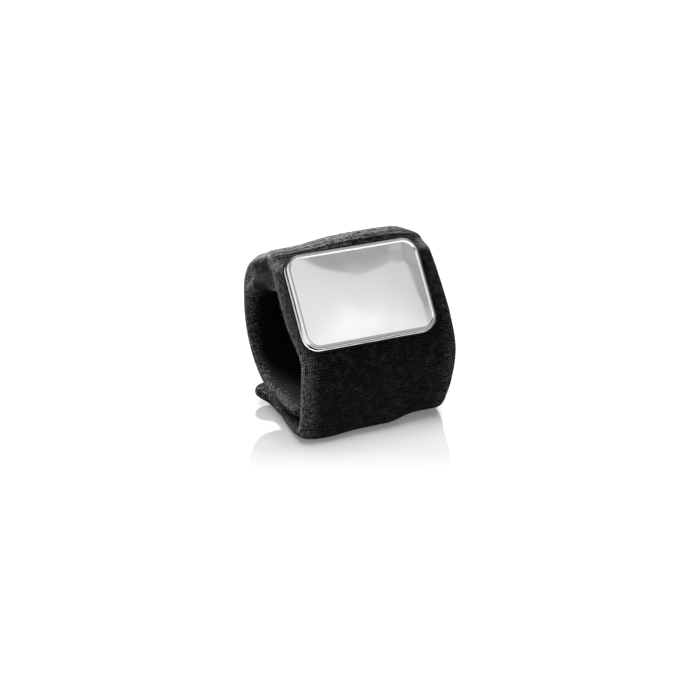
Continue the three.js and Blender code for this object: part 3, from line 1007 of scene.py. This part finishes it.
    @staticmethod
    def cap(ring: np.ndarray) -> list[tuple[int, ...]]:
        """Returns faces that close the first ring, facing out of the strip."""
        count = len(ring)
        faces = []
        for j in range(count // 2):
            corners = (ring[j], ring[j + 1], ring[(count - j - 1) % count], ring[(count - j) % count])
            face = tuple(dict.fromkeys(int(corner) for corner in corners))
            if len(face) > 2:
                faces.append(face)
        return faces

    def rib_tree(self, material: Material) -> TreeSheet:
        """Builds the tree that raises the ribs along their lines, fuller and fainter by turns."""
        sizes = {"Pitch": self.pitch * MM, "Depth": self.rib_depth * MM, "Dash": self.rib_dash * MM}
        tree = TreeSheet("knit_ribs", sizes)
        roundness, sunk, number_step = 0.75, 0.72, 7.3
        dash_gain, dash_base, least = 2.6, -0.45, 0.05
        rib = tree.math("DIVIDE", tree.named("along"), tree.size("Pitch"))
        crest = tree.math("ABSOLUTE", tree.math("SINE", tree.times(rib, math.pi)))
        profile = tree.minus(tree.math("POWER", crest, roundness), sunk)
        number = tree.math("FLOOR", tree.plus(rib, 0.001))
        reach = tree.math("DIVIDE", tree.named("across"), tree.size("Dash"))
        spot = tree.add("ShaderNodeCombineXYZ", {0: tree.times(number, number_step), 1: reach})
        broken = tree.scaled(tree.noise(spot.outputs[0], 1.0, 2.0), dash_gain, dash_base)
        height = tree.times(tree.times(profile, tree.size("Depth")), tree.named("gain"))
        lift = tree.times(height, tree.math("MAXIMUM", broken, least))
        ways = {0: tree.named("outward", "FLOAT_VECTOR"), "Scale": lift}
        offset = tree.add("ShaderNodeVectorMath", ways, operation="SCALE")
        move = {"Geometry": tree.size("Geometry"), "Offset": offset.outputs[0]}
        tree.finish(tree.add("GeometryNodeSetPosition", move).outputs[0], material)
        return tree

    def fuzz_tree(self, material: Material) -> TreeSheet:
        """Builds the tree that scatters short curved fibres over the knit."""
        sizes = {"Density": self.fuzz_per_mm2 / MM**2, "Length": self.fuzz_length * MM, "Seed": 7}
        tree = TreeSheet("knit_fuzz", sizes)
        # The inner attribute, which carries the knit's painted shade, also thins the fibres where it is
        # high.
        bared = tree.kept(tree.named("inner"), 0.0, 1.0)
        density = tree.times(tree.size("Density"), tree.scaled(bared, -self.fuzz_bared, 1.0))
        spread = {"Mesh": tree.size("Geometry"), "Density": density, "Seed": tree.size("Seed")}
        points = tree.add("GeometryNodeDistributePointsOnFaces", spread)
        lean = self.fuzz_lean
        spin = tree.chance((-lean, -lean, 0.0), (lean, lean, math.tau))
        turns = {0: points.outputs["Rotation"], 1: spin}
        turned = tree.add("FunctionNodeRotateRotation", turns, rotation_space="LOCAL")
        fibres = {
            "Points": points.outputs["Points"],
            "Instance": tree.pattern("fibre_blade", self.blade()),
            "Rotation": turned.outputs[0],
            "Scale": tree.times(tree.chance(self.fuzz_shortest, 1.0), tree.size("Length")),
        }
        tree.finish(tree.add("GeometryNodeInstanceOnPoints", fibres).outputs[0], material)
        return tree

    def blade(self) -> Mesh:
        """Returns one curved fibre of unit length, a narrow strip of two quads."""
        half = self.fibre_half_width
        points = [(x, side, z) for x, z in self.fibre_path for side in (-half, half)]
        mesh = bpy.data.meshes.new("fibre_blade")
        mesh.from_pydata(points, [], [(0, 1, 3, 2), (2, 3, 5, 4)])
        return mesh

    def build(self, knit: Material, fibre: Material) -> None:
        """Builds and dresses the cuff's and the flap's knit and their fuzz, attaches the cuff's pieces to
        the cuff and bakes the flap's in place.
        """
        hinge = np.array([0.0, self.line_front() + self.wrap.hinge_inset, self.wrap.hinge_inset])
        ribs, fuzz = self.rib_tree(knit), self.fuzz_tree(fibre)
        lengths = {
            "flap": (0, self.split_row, ("flap_sleeve", "flap_foam")),
            "cuff": (self.split_row, self.ribs * self.rows_per_rib, ("knit_sleeve", "foam_core")),
        }
        for body, (first, last, nodes) in lengths.items():
            base = self.tube(f"{body}_base", first, last)
            piece = ribs.grow(f"{body}_knit", base, {})
            down = fuzz.grow(f"{body}_fuzz", piece, {})
            bpy.data.objects.remove(base)
            for part in (piece, down):
                if body == "flap":
                    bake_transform(part)
                else:
                    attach(part, "cuff")
                LOG.info("%s: %d faces", part.name, len(part.data.polygons))
            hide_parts(*nodes)
        fuzz.clear()

    def line_front(self) -> float:
        """Returns y of the front wall's outer face."""
        y, _, _ = self.line.spot(self.line.start_of("front"))
        return y - self.wrap.thickness / 2


@dataclass
class CoverPlate:
    """The polished pressing: a sunk panel, a flat rim, a rolled edge, a wall and a foot bead."""

    wrap: Wrap = field(default_factory=Wrap)
    width: float = 54.4
    height: float = 36.7
    corner_radius: float = 6.0
    least_radius: float = 0.3
    offset: float = -1.8
    margin_low: float = 0.9
    sheet: float = 0.5
    rim_width: float = 1.05
    rim_tilt: float = 20.0
    rim_radius: float = 0.22
    panel_step: float = 0.36
    step_run: float = 0.38
    bead_proud: float = 0.28
    bead_height: float = 0.75
    base_level: float = 1.2
    rim_level: float = 4.3
    crown_rise: float = 0.16
    crown_power: float = 2.4
    wave_rise: float = 0.012
    wave_length: float = 19.0
    fall_slope: float = 0.032
    fall_ease: float = 0.3
    fall_top: tuple = (
        (-24.0, 0.3), (-19.8, 0.9), (-18.1, 3.3), (-14.1, 6.3), (-9.7, 8.2), (-5.1, 9.6), (-2.8, 10.1),
        (-0.6, 11.2), (1.8, 11.6), (4.4, 11.2), (7.1, 10.6), (12.4, 9.5), (15.2, 8.6), (20.0, 9.4),
        (27.0, 11.0),
    )
    fall_right: tuple = (
        (-18.0, 4.4), (-11.5, 4.2), (-7.6, 4.2), (-3.7, 5.2), (4.7, 5.8), (9.0, 6.4), (18.0, 5.6),
    )
    fall_right_share: float = 0.7
    corner_steps: int = 14
    side_steps: int = 26
    bend_steps: int = 8
    bead_steps: int = 6
    panel_rings: int = 44
    ring_crowding: float = 1.8

    def outline(self, inset: float) -> np.ndarray:
        """Returns a rounded rectangle inside the plate's own outline, counterclockwise."""
        radius = max(self.corner_radius - inset, self.least_radius)
        size = (self.width - 2.0 * inset, self.height - 2.0 * inset)
        return rounded_outline(size, radius, self.corner_steps, self.side_steps)

    def rim(self) -> list[tuple[float, float]]:
        """Returns inset and level along the rim's crown and down its rolled edge to the wall."""
        tilt, steps, edge = math.radians(self.rim_tilt), self.bend_steps, self.rim_radius
        reach = (self.rim_width - edge * (1.0 - math.sin(tilt))) / math.sin(tilt)
        points = []
        for turned in (tilt * i / steps for i in range(steps + 1)):
            fall = reach * (1.0 - math.cos(turned))
            points.append((self.rim_width - reach * math.sin(turned), self.rim_level - fall))
        level = points[-1][1]
        for turned in (tilt + (math.pi / 2 - tilt) * i / steps for i in range(1, steps + 1)):
            fall = edge * (math.cos(tilt) - math.cos(turned))
            points.append((edge * (1.0 - math.sin(turned)), level - fall))
        return points

    def profile(self) -> list[tuple[float, float]]:
        """Returns inset and level from the step's foot over the rim and round to the underside."""
        foot = self.rim_width + self.step_run
        outer = []
        for share in (i / self.bend_steps for i in range(self.bend_steps)):
            ease = share * share * (3.0 - 2.0 * share)
            outer.append((foot - self.step_run * share, self.rim_level - self.panel_step * (1.0 - ease)))
        outer += self.rim()
        neck, half = self.base_level + self.bead_height, self.bead_height / 2
        outer += [(0.0, neck + 0.5), (0.0, neck + 0.12), (-0.06, neck - 0.02)]
        centre = neck - half - 0.04
        for angle in (math.pi * (0.5 - i / self.bead_steps) for i in range(self.bead_steps + 1)):
            outer.append((-self.bead_proud * math.cos(angle), centre + half * math.sin(angle)))
        under = self.rim_level - self.sheet
        inner = [(self.sheet, self.base_level), (self.sheet, neck + 0.12), (self.sheet, under - 0.4)]
        inner += [(self.sheet + 0.3, under - 0.1), (self.rim_width, under), (foot, under - self.panel_step)]
        return outer + inner

    def panel(self, points: np.ndarray) -> np.ndarray:
        """Returns levels of the sunk panel's upper side at points of the plate's plane."""
        inset = self.rim_width + self.step_run
        half = np.array([self.width, self.height]) / 2
        x, y = np.clip(np.abs(points / (half - inset)), 0.0, 1.0).T ** self.crown_power
        crown = self.crown_rise * (1.0 - x) * (1.0 - y)
        edge = (half - inset - np.abs(points)).min(axis=1)
        wave = self.wave_rise * ripple(*points.T, self.wave_length, 4) * smooth(edge, 0.0, 3.0)
        depth = half - points
        level = self.rim_level - self.panel_step + crown + wave
        for stations, share, place, down in (
            (self.fall_top, 1.0, points[:, 0], depth[:, 1]),
            (self.fall_right, self.fall_right_share, points[:, 1], depth[:, 0]),
        ):
            past = eased(place, 0.0, stations) - down
            level = level - share * self.fall_slope * (past + np.hypot(past, self.fall_ease)) / 2
        return level

    def build(self, steel: Material) -> Object:
        """Builds the cover over its CAD node's place, puts it on the cuff and returns it."""
        edge = self.outline(self.rim_width + self.step_run)
        shares = 1.0 - (np.arange(1, self.panel_rings) / self.panel_rings) ** self.ring_crowding
        rings = [np.column_stack([edge * share, self.panel(edge * share)]) for share in shares[::-1]]
        for inset, level in self.profile():
            flat = self.outline(inset)
            rings.append(np.column_stack([flat, np.full(len(flat), level)]))
        middle = np.zeros((1, 2))
        top = np.column_stack([middle, self.panel(middle)])
        under = np.array([[0.0, 0.0, self.rim_level - self.panel_step - self.sheet]])
        mesh = loft("steel_cover", self.place(top), [self.place(ring) for ring in rings], self.place(under))
        cover = new_object("steel_cover", mesh, steel)
        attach(cover, "cuff")
        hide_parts("cover_plate")
        LOG.info("steel_cover: %d faces", len(mesh.polygons))
        return cover

    def place(self, points: np.ndarray) -> np.ndarray:
        """Moves points from the plate's own frame into the object's."""
        line = self.wrap.line()
        y, z, heading = line.spot(line.start_of("face") + self.margin_low + self.height / 2)
        along = np.array([0.0, math.cos(heading), math.sin(heading)])
        out = np.array([0.0, -math.sin(heading), math.cos(heading)])
        centre = np.array([self.offset, y, z]) + out * self.wrap.thickness / 2
        return centre + points @ np.array([(1.0, 0.0, 0.0), along, out])


class TapeSide(Enum):
    """The two halves of the closure tape."""

    HOOK = "hook"
    LOOP = "loop"


@dataclass
class ClosureTape:
    """A sewn patch of closure tape: a woven ground, its hooks or loops, and a seam round its edge.

    Its ground has a lowest and a highest level, and its span a front and a back y. A wire is given
    by its half width and half depth, and the hook's path by x and the share of its rise.
    """

    side: TapeSide
    body: str
    ground: tuple[float, float]
    span: tuple[float, float]
    width: float = 50.0
    corner_radius: float = 2.5
    corner_steps: int = 8
    side_steps: int = 6
    edge: float = 0.12
    margin: float = 1.5
    hook_pitch: float = 1.15
    hook_rise: float = 0.42
    hook_path: tuple = ((0.03, 0.8), (0.11, 1.0), (0.2, 0.86), (0.23, 0.6))
    hook_wire: tuple = (0.09, 0.05)
    hook_lean: float = 0.12
    loop_density: float = 2.2
    loop_rise: float = 0.3
    loop_reach: float = 0.13
    loop_wire: tuple = (0.028, 0.028)
    loop_lean: float = 0.5
    sunk: float = 0.05
    seam_inset: float = 1.0
    seam_radius: float = 1.7
    seam_steps: int = 60
    seam_ahead: float = 0.4
    stitch_pitch: float = 2.2
    stitch_length: float = 1.5
    stitch_rise: float = 0.1
    stitch_wire: tuple = (0.14, 0.1)

    def middle(self) -> float:
        """Returns y of the patch's middle."""
        return (self.span[0] + self.span[1]) / 2

    def face(self) -> float:
        """Returns the level of the side that grips."""
        return self.ground[1] if self.side is TapeSide.HOOK else self.ground[0]

    def sized(self, inset: float) -> tuple[float, float]:
        """Returns the width and the length of the patch without an inset on each side."""
        return self.width - 2.0 * inset, self.span[1] - self.span[0] - 2.0 * inset

    def slab(self) -> Mesh:
        """Makes the woven ground, a thin slab with rounded corners and a soft edge."""
        low, high = self.ground
        soft = self.edge
        down = [(high, 3.0 * soft), (high, soft), (high - soft, 0.0)]
        down += [(low + soft, 0.0), (low, soft), (low, 3.0 * soft)]
        rings, steps = [], (self.corner_steps, self.side_steps)
        for level, inset in down:
            flat = rounded_outline(self.sized(inset), self.corner_radius - inset, *steps)
            rings.append(np.column_stack([flat, np.full(len(flat), level)]) + (0.0, self.middle(), 0.0))
        top, foot = (np.array([0.0, self.middle(), level]) for level in (high, low))
        return loft(f"{self.side.value}_ground", top, rings, foot)

    def grip_shape(self) -> Mesh:
        """Makes one hook or one loop, standing on the ground or hanging under it."""
        if self.side is TapeSide.HOOK:
            path = [(0.0, -self.sunk), (0.0, 0.5 * self.hook_rise)]
            path += [(x, share * self.hook_rise) for x, share in self.hook_path]
            return bent_wire("hook_shape", path, *self.hook_wire)
        path = [(x, self.sunk - z) for x, z in arc(self.loop_reach, self.loop_rise)]
        return bent_wire("loop_shape", path, *self.loop_wire)

    def grip_tree(self, material: Material) -> TreeSheet:
        """Builds the tree that sets rows of hooks, or a nap of loops, on the gripping side."""
        kind = self.side.value
        sizes = {"Pitch": self.hook_pitch * MM, "Density": self.loop_density / MM**2, "Seed": 5}
        tree = TreeSheet(f"{kind}_grip", sizes)
        wide, long = (size * MM for size in self.sized(self.margin))
        columns, rows = (tree.math("DIVIDE", size, tree.size("Pitch")) for size in (wide, long))
        patch = {"Size X": wide, "Size Y": long, "Vertices X": columns, "Vertices Y": rows}
        laid = {
            "Geometry": tree.add("GeometryNodeMeshGrid", patch).outputs["Mesh"],
            "Translation": (0.0, self.middle() * MM, self.face() * MM),
        }
        placed = tree.add("GeometryNodeTransform", laid).outputs[0]
        lean = self.hook_lean
        if self.side is TapeSide.LOOP:
            spread = {"Mesh": placed, "Density": tree.size("Density"), "Seed": tree.size("Seed")}
            placed = tree.add("GeometryNodeDistributePointsOnFaces", spread).outputs["Points"]
            lean = self.loop_lean
        grips = {
            "Points": placed,
            "Instance": tree.pattern(f"{kind}_shape", self.grip_shape()),
            "Rotation": tree.chance((-lean, -lean, 0.0), (lean, lean, math.tau)),
        }
        tree.finish(tree.add("GeometryNodeInstanceOnPoints", grips).outputs[0], material)
        return tree

    def seam(self) -> Mesh:
        """Makes the seam line: a point for each stitch, with its direction."""
        steps = (self.corner_steps, self.seam_steps)
        line = rounded_outline(self.sized(self.seam_inset), self.seam_radius, *steps)
        closed = np.vstack([line, line[:1]])
        along = np.concatenate([[0.0], np.cumsum(np.linalg.norm(np.diff(closed, axis=0), axis=1))])
        places = np.linspace(0.0, along[-1], round(along[-1] / self.stitch_pitch), endpoint=False)
        x, y = (np.interp(places, along, closed[:, i]) for i in range(2))
        ahead = [np.interp((places + self.seam_ahead) % along[-1], along, closed[:, i]) for i in range(2)]
        mesh = bpy.data.meshes.new(f"{self.side.value}_seam")
        points = np.column_stack([x, y + self.middle(), np.full(len(x), self.face())]) * MM
        mesh.from_pydata(points.tolist(), [], [])
        mark(mesh, "turn", np.arctan2(ahead[1] - y, ahead[0] - x))
        return mesh

    def seam_tree(self, material: Material) -> TreeSheet:
        """Builds the tree that lays a stitch along each place of the seam."""
        tree = TreeSheet(f"{self.side.value}_stitches", {"Thickness": 1.0})
        out = 1.0 if self.side is TapeSide.HOOK else -1.0
        path = [(x, out * (z - self.sunk)) for x, z in arc(self.stitch_length / 2, self.stitch_rise)]
        thick = tree.size("Thickness")
        stitches = {
            "Points": tree.size("Geometry"),
            "Instance": tree.pattern("stitch_shape", bent_wire("stitch_shape", path, *self.stitch_wire)),
            "Rotation": tree.add("ShaderNodeCombineXYZ", {2: tree.named("turn")}).outputs[0],
            "Scale": tree.add("ShaderNodeCombineXYZ", {0: 1.0, 1: thick, 2: thick}).outputs[0],
        }
        tree.finish(tree.add("GeometryNodeInstanceOnPoints", stitches).outputs[0], material)
        return tree

    def build(self, woven: Material, nylon: Material, thread: Material) -> None:
        """Builds the patch in place of its plain solid."""
        kind = self.side.value
        ground = new_object(f"{kind}_ground", self.slab(), woven)
        grip, stitching = self.grip_tree(nylon), self.seam_tree(thread)
        seam = new_object(f"{kind}_seam_line", self.seam())
        pieces = [
            ground,
            grip.grow(f"{kind}_field", ground, {}),
            stitching.grow(f"{kind}_stitches", seam, {"Thickness": 1.0}),
        ]
        bpy.data.objects.remove(seam)
        grip.clear()
        stitching.clear()
        for piece in pieces:
            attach(piece, self.body)
            LOG.info("%s: %d faces", piece.name, len(piece.data.polygons))
        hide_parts(f"{kind}_tape")


@dataclass
class Studio:
    """A pale glossy floor, soft light and the camera at the photograph's angle.

    A lamp has its name, direction, power and spread. A white box has its direction, the angles from
    there at which it starts to fade and is gone, and its level.
    """

    azimuth: float = 25.38
    elevation: float = 23.16
    distance: float = 883.46
    target: tuple = (-3.32, -8.79, 27.01)
    focal_share: float = 2.626
    sensor: float = 36.0
    frame_pixels: float = 700.0
    mirror_axis: tuple = (0.4028, -0.6014, 0.6900)
    mirror_side: tuple = (-0.8309, -0.5564, 0.0)
    mirror_rise: tuple = (-0.3839, 0.5733, 0.7239)
    mirror_cone: tuple = (0.90, 0.95)
    glow_side: float = 0.02
    glow_rise: float = -0.03
    glow_reach: float = 0.028
    glow_gain: float = 0.31
    card_tone: float = 0.80
    card_side: float = 2.0
    card_rise: float = -0.83
    card_reach: float = 0.08
    card_edge: float = 0.066
    card_line: float = 0.02
    card_line_tone: float = 0.36
    card_beyond: float = 0.47
    card_foot: tuple = (-0.13, -0.085)
    room_level: float = 0.08
    boxes: tuple = (
        ((-0.87, 0.10, 0.48), 14.0, 24.0, 1.2),
        ((0.39, 0.83, 0.39), 15.0, 24.0, 1.0),
        ((-0.35, -0.62, 0.70), 20.0, 30.0, 0.8),
        ((0.39, 0.20, 0.90), 18.0, 32.0, 0.32),
        ((0.10, -0.97, 0.22), 30.0, 50.0, 0.26),
    )
    textile_lamps: tuple = (
        ("overhead_lamp", (-0.12, 0.71, 0.69), 47.0, 28.0),
        ("side_lamp", (-0.99, -0.02, 0.10), 5.0, 16.0),
        ("fill_lamp", (0.10, -0.97, 0.22), 0.3, 70.0),
    )
    floor_lamp: tuple = ("floor_lamp", (0.0, 0.0, 1.0), 3.65, 56.0)
    floor_glow: float = 0.3
    floor_tone: float = 0.8
    floor_side: float = 6.0
    gloss_axis: tuple = (-0.429, -0.903, 0.0)
    gloss_reach: tuple = (0.040, 0.126)
    gloss_share: float = 0.43

    def camera(self) -> None:
        """Places the camera."""
        a, e = math.radians(self.azimuth), math.radians(self.elevation)
        back = Vector((-math.sin(a) * math.cos(e), -math.cos(a) * math.cos(e), math.sin(e)))
        data = bpy.data.cameras.new("portrait")
        data.sensor_width = self.sensor
        data.lens = self.focal_share * self.distance / self.frame_pixels * self.sensor
        data.clip_start, data.clip_end = 0.01, 50.0
        camera = bpy.data.objects.new("portrait", data)
        camera.location = Vector(self.target) * MM + back * self.distance * MM
        self.hang(camera, -back)
        bpy.context.scene.camera = camera

    @staticmethod
    def hang(item: Object, towards: Vector) -> None:
        """Links a camera or lamp that looks in a direction."""
        item.rotation_mode = "QUATERNION"
        item.rotation_quaternion = towards.to_track_quat("-Z", "Y")
        bpy.context.scene.collection.objects.link(item)

    def floor(self) -> Object:
        """Lays the floor, glossy by the object and matt towards the camera, and returns it."""
        side = self.floor_side
        mesh = bpy.data.meshes.new("studio_floor")
        corners = [(-side, -side, 0), (side, -side, 0), (side, side, 0), (-side, side, 0)]
        mesh.from_pydata(corners, [], [(0, 1, 2, 3)])
        sheet = FinishSheet("pale_floor")
        near, far = self.gloss_reach
        shares = {0: sheet.along(sheet.place, self.gloss_axis), 1: near, 2: far, 3: self.gloss_share, 4: 0.0}
        surface = {
            "Base Color": (self.floor_tone, self.floor_tone, self.floor_tone, 1.0),
            "Roughness": 0.6,
            "Specular IOR Level": 0.0,
            "Emission Color": WHITE,
            "Emission Strength": self.floor_glow,
        }
        blend = {
            0: sheet.add("ShaderNodeMapRange", shares).outputs[0],
            1: sheet.add("ShaderNodeBsdfPrincipled", surface).outputs[0],
            2: sheet.add("ShaderNodeBsdfGlossy", {"Color": WHITE, "Roughness": 0.04}).outputs[0],
        }
        mixed = sheet.add("ShaderNodeMixShader", blend)
        sheet.add("ShaderNodeOutputMaterial", {"Surface": mixed.outputs[0]})
        floor = new_object("studio_floor", mesh, sheet.material)
        return floor

    def card(self, sheet: NodeSheet, side: Socket, rise: Socket) -> Socket:
        """Writes the tone of the card that the steel mirrors.

        Args:
            sheet: The world's node tree.
            side: How far the direction looked at goes to the card's side.
            rise: How far it goes up the card.

        Returns:
            The tone: shaded across the card, with a soft glow, a dark line round it and a foot.
        """
        from_glow = (
            sheet.math("DIVIDE", sheet.minus(way, middle), self.glow_reach)
            for way, middle in ((side, self.glow_side), (rise, self.glow_rise))
        )
        away = sheet.plus(*(sheet.times(way, way) for way in from_glow))
        glow = sheet.math("EXPONENT", sheet.times(away, -1.0))
        across, up = (sheet.kept(way, -self.card_reach, self.card_reach) for way in (side, rise))
        card = sheet.scaled(across, self.card_side, self.card_tone)
        card = sheet.scaled(up, self.card_rise, card)
        card = sheet.scaled(glow, self.glow_gain, card)
        past = sheet.math("MAXIMUM", rise, sheet.times(side, -1.0))
        edge, line, dark = self.card_edge, self.card_line, self.card_line_tone
        card = sheet.scaled(sheet.step(past, edge, edge + line), sheet.minus(dark, card), card)
        beyond = sheet.step(past, edge + 1.4 * line, edge + 2.2 * line)
        card = sheet.scaled(beyond, self.card_beyond - dark, card)
        return sheet.scaled(sheet.step(rise, *self.card_foot), sheet.minus(card, dark), dark)

    def world(self) -> None:
        """Sets the soft surround: a dim room with white boxes, and the card that the steel mirrors."""
        world = bpy.data.worlds.new("soft_studio")
        world.use_nodes = True
        sheet = NodeSheet(world.node_tree)
        looked = sheet.add("ShaderNodeTexCoord").outputs["Generated"]
        axes = (self.mirror_axis, self.mirror_side, self.mirror_rise)
        ahead, side, rise = (sheet.along(looked, axis) for axis in axes)
        shown = sheet.minus(self.card(sheet, side, rise), self.room_level)
        outer, inner = self.mirror_cone
        level = sheet.scaled(shown, sheet.step(ahead, outer, inner), self.room_level)
        elsewhere = sheet.step(ahead, inner, outer)
        for axis, full, none, power in self.boxes:
            bounds = (math.cos(math.radians(angle)) for angle in (none, full))
            box = sheet.step(sheet.along(looked, axis), *bounds)
            level = sheet.scaled(sheet.times(box, power), elsewhere, level)
        background = sheet.add("ShaderNodeBackground", {"Color": level, "Strength": 1.0})
        sheet.add("ShaderNodeOutputWorld", {"Surface": background.outputs[0]})
        bpy.context.scene.world = world

    def lamp(self, name: str, axis: tuple, power: float, spread: float) -> Object:
        """Hangs a broad even lamp in a direction.

        Args:
            name: Name of the lamp.
            axis: Direction towards the lamp.
            power: Its power on a surface that faces it, in watts per square metre.
            spread: Its angular size, in degrees.

        Returns:
            The lamp.
        """
        data = bpy.data.lights.new(name, "SUN")
        data.energy, data.angle = power, math.radians(spread)
        lamp = bpy.data.objects.new(name, data)
        self.hang(lamp, -Vector(axis))
        return lamp

    def lamps(self, floor: Object, mirrors: list[Object]) -> None:
        """Lights the textile from behind and above and from the left, and the floor by a lamp of its own.

        Args:
            floor: The floor, which the textile's lamps leave out.
            mirrors: Bright metal pieces, which show the surround and not the lamps.
        """
        linking = [(settings, "EXCLUDE", [floor, *mirrors]) for settings in self.textile_lamps]
        linking.append((self.floor_lamp, "INCLUDE", [floor]))
        for settings, state, linked in linking:
            lamp = self.lamp(*settings)
            receivers = bpy.data.collections.new(f"{lamp.name}_receivers")
            for i, piece in enumerate(linked):
                receivers.objects.link(piece)
                receivers.collection_objects[i].light_linking.link_state = state
            lamp.light_linking.receiver_collection = receivers

    def build(self) -> Object:
        """Sets up the studio without its lamps and returns the floor."""
        self.camera()
        self.world()
        view = bpy.context.scene.view_settings
        view.view_transform, view.look = "Standard", "None"
        return self.floor()


def make_finishes() -> dict[str, Material]:
    """Makes all finishes and returns them by name."""
    nylon = (0.0035, 0.0035, 0.004, 1.0)
    finishes = (
        KnitFinish(),
        FibreFinish("knit_fibres", (0.012, 0.0125, 0.015, 1.0)),
        SteelFinish("polished_steel", (0.86, 0.86, 0.87, 1.0), smooth_spot=0.06, rough_spot=0.12),
        SteelFinish("zinc_plate", (0.42, 0.44, 0.46, 1.0), smooth_spot=0.28, rough_spot=0.42),
        SteelFinish("nickel_plate", (0.55, 0.54, 0.51, 1.0), smooth_spot=0.16, rough_spot=0.26),
        PlasticFinish(),
        WovenFinish(),
        FibreFinish("hook_nylon", nylon, sheen=0.0, roughness=0.4, gloss=0.1),
        FibreFinish("loop_nylon", nylon, sheen=0.006, roughness=0.6, gloss=0.03),
        FibreFinish("seam_thread", (0.0055, 0.0055, 0.006, 1.0), sheen=0.006, roughness=0.55, gloss=0.03),
    )
    return {finish.name: finish.make() for finish in finishes}


def dress_nodes(nodes: dict[str, Object], finishes: dict[str, Material]) -> None:
    """Gives the CAD nodes that stay their materials.

    Args:
        nodes: The CAD nodes by name.
        finishes: A material for each start of a node's name, of which the first that fits counts.
    """
    for name, node in nodes.items():
        material = next((finish for start, finish in finishes.items() if name.startswith(start)), None)
        if material is not None:
            node.data.materials.clear()
            node.data.materials.append(material)


def main() -> None:
    """Builds the dressed wristband and its studio."""
    logging.basicConfig(level=logging.INFO, format="%(message)s")
    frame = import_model()
    studio = Studio()
    floor = studio.build()
    looks = make_finishes()
    woven, thread = looks["woven_tape"], looks["seam_thread"]
    KnitStrip().build(looks["ribbed_knit"], looks["knit_fibres"])
    cover = CoverPlate().build(looks["polished_steel"])
    hooks = ClosureTape(TapeSide.HOOK, "flap", (5.58, 6.18), (-17.69, 1.71))
    hooks.build(woven, looks["hook_nylon"], thread)
    loops = ClosureTape(TapeSide.LOOP, "cuff", (7.22, 7.85), (-17.69, -1.96))
    loops.build(woven, looks["loop_nylon"], thread)
    studio.lamps(floor, [cover])
    dress_nodes(
        frame["nodes"],
        {
            "magnet_tray": looks["moulded_black"],
            "magnet_": looks["nickel_plate"],
            "backing_plate": looks["zinc_plate"],
            "rivet_": looks["zinc_plate"],
        },
    )


if __name__ == "__main__":
    main()
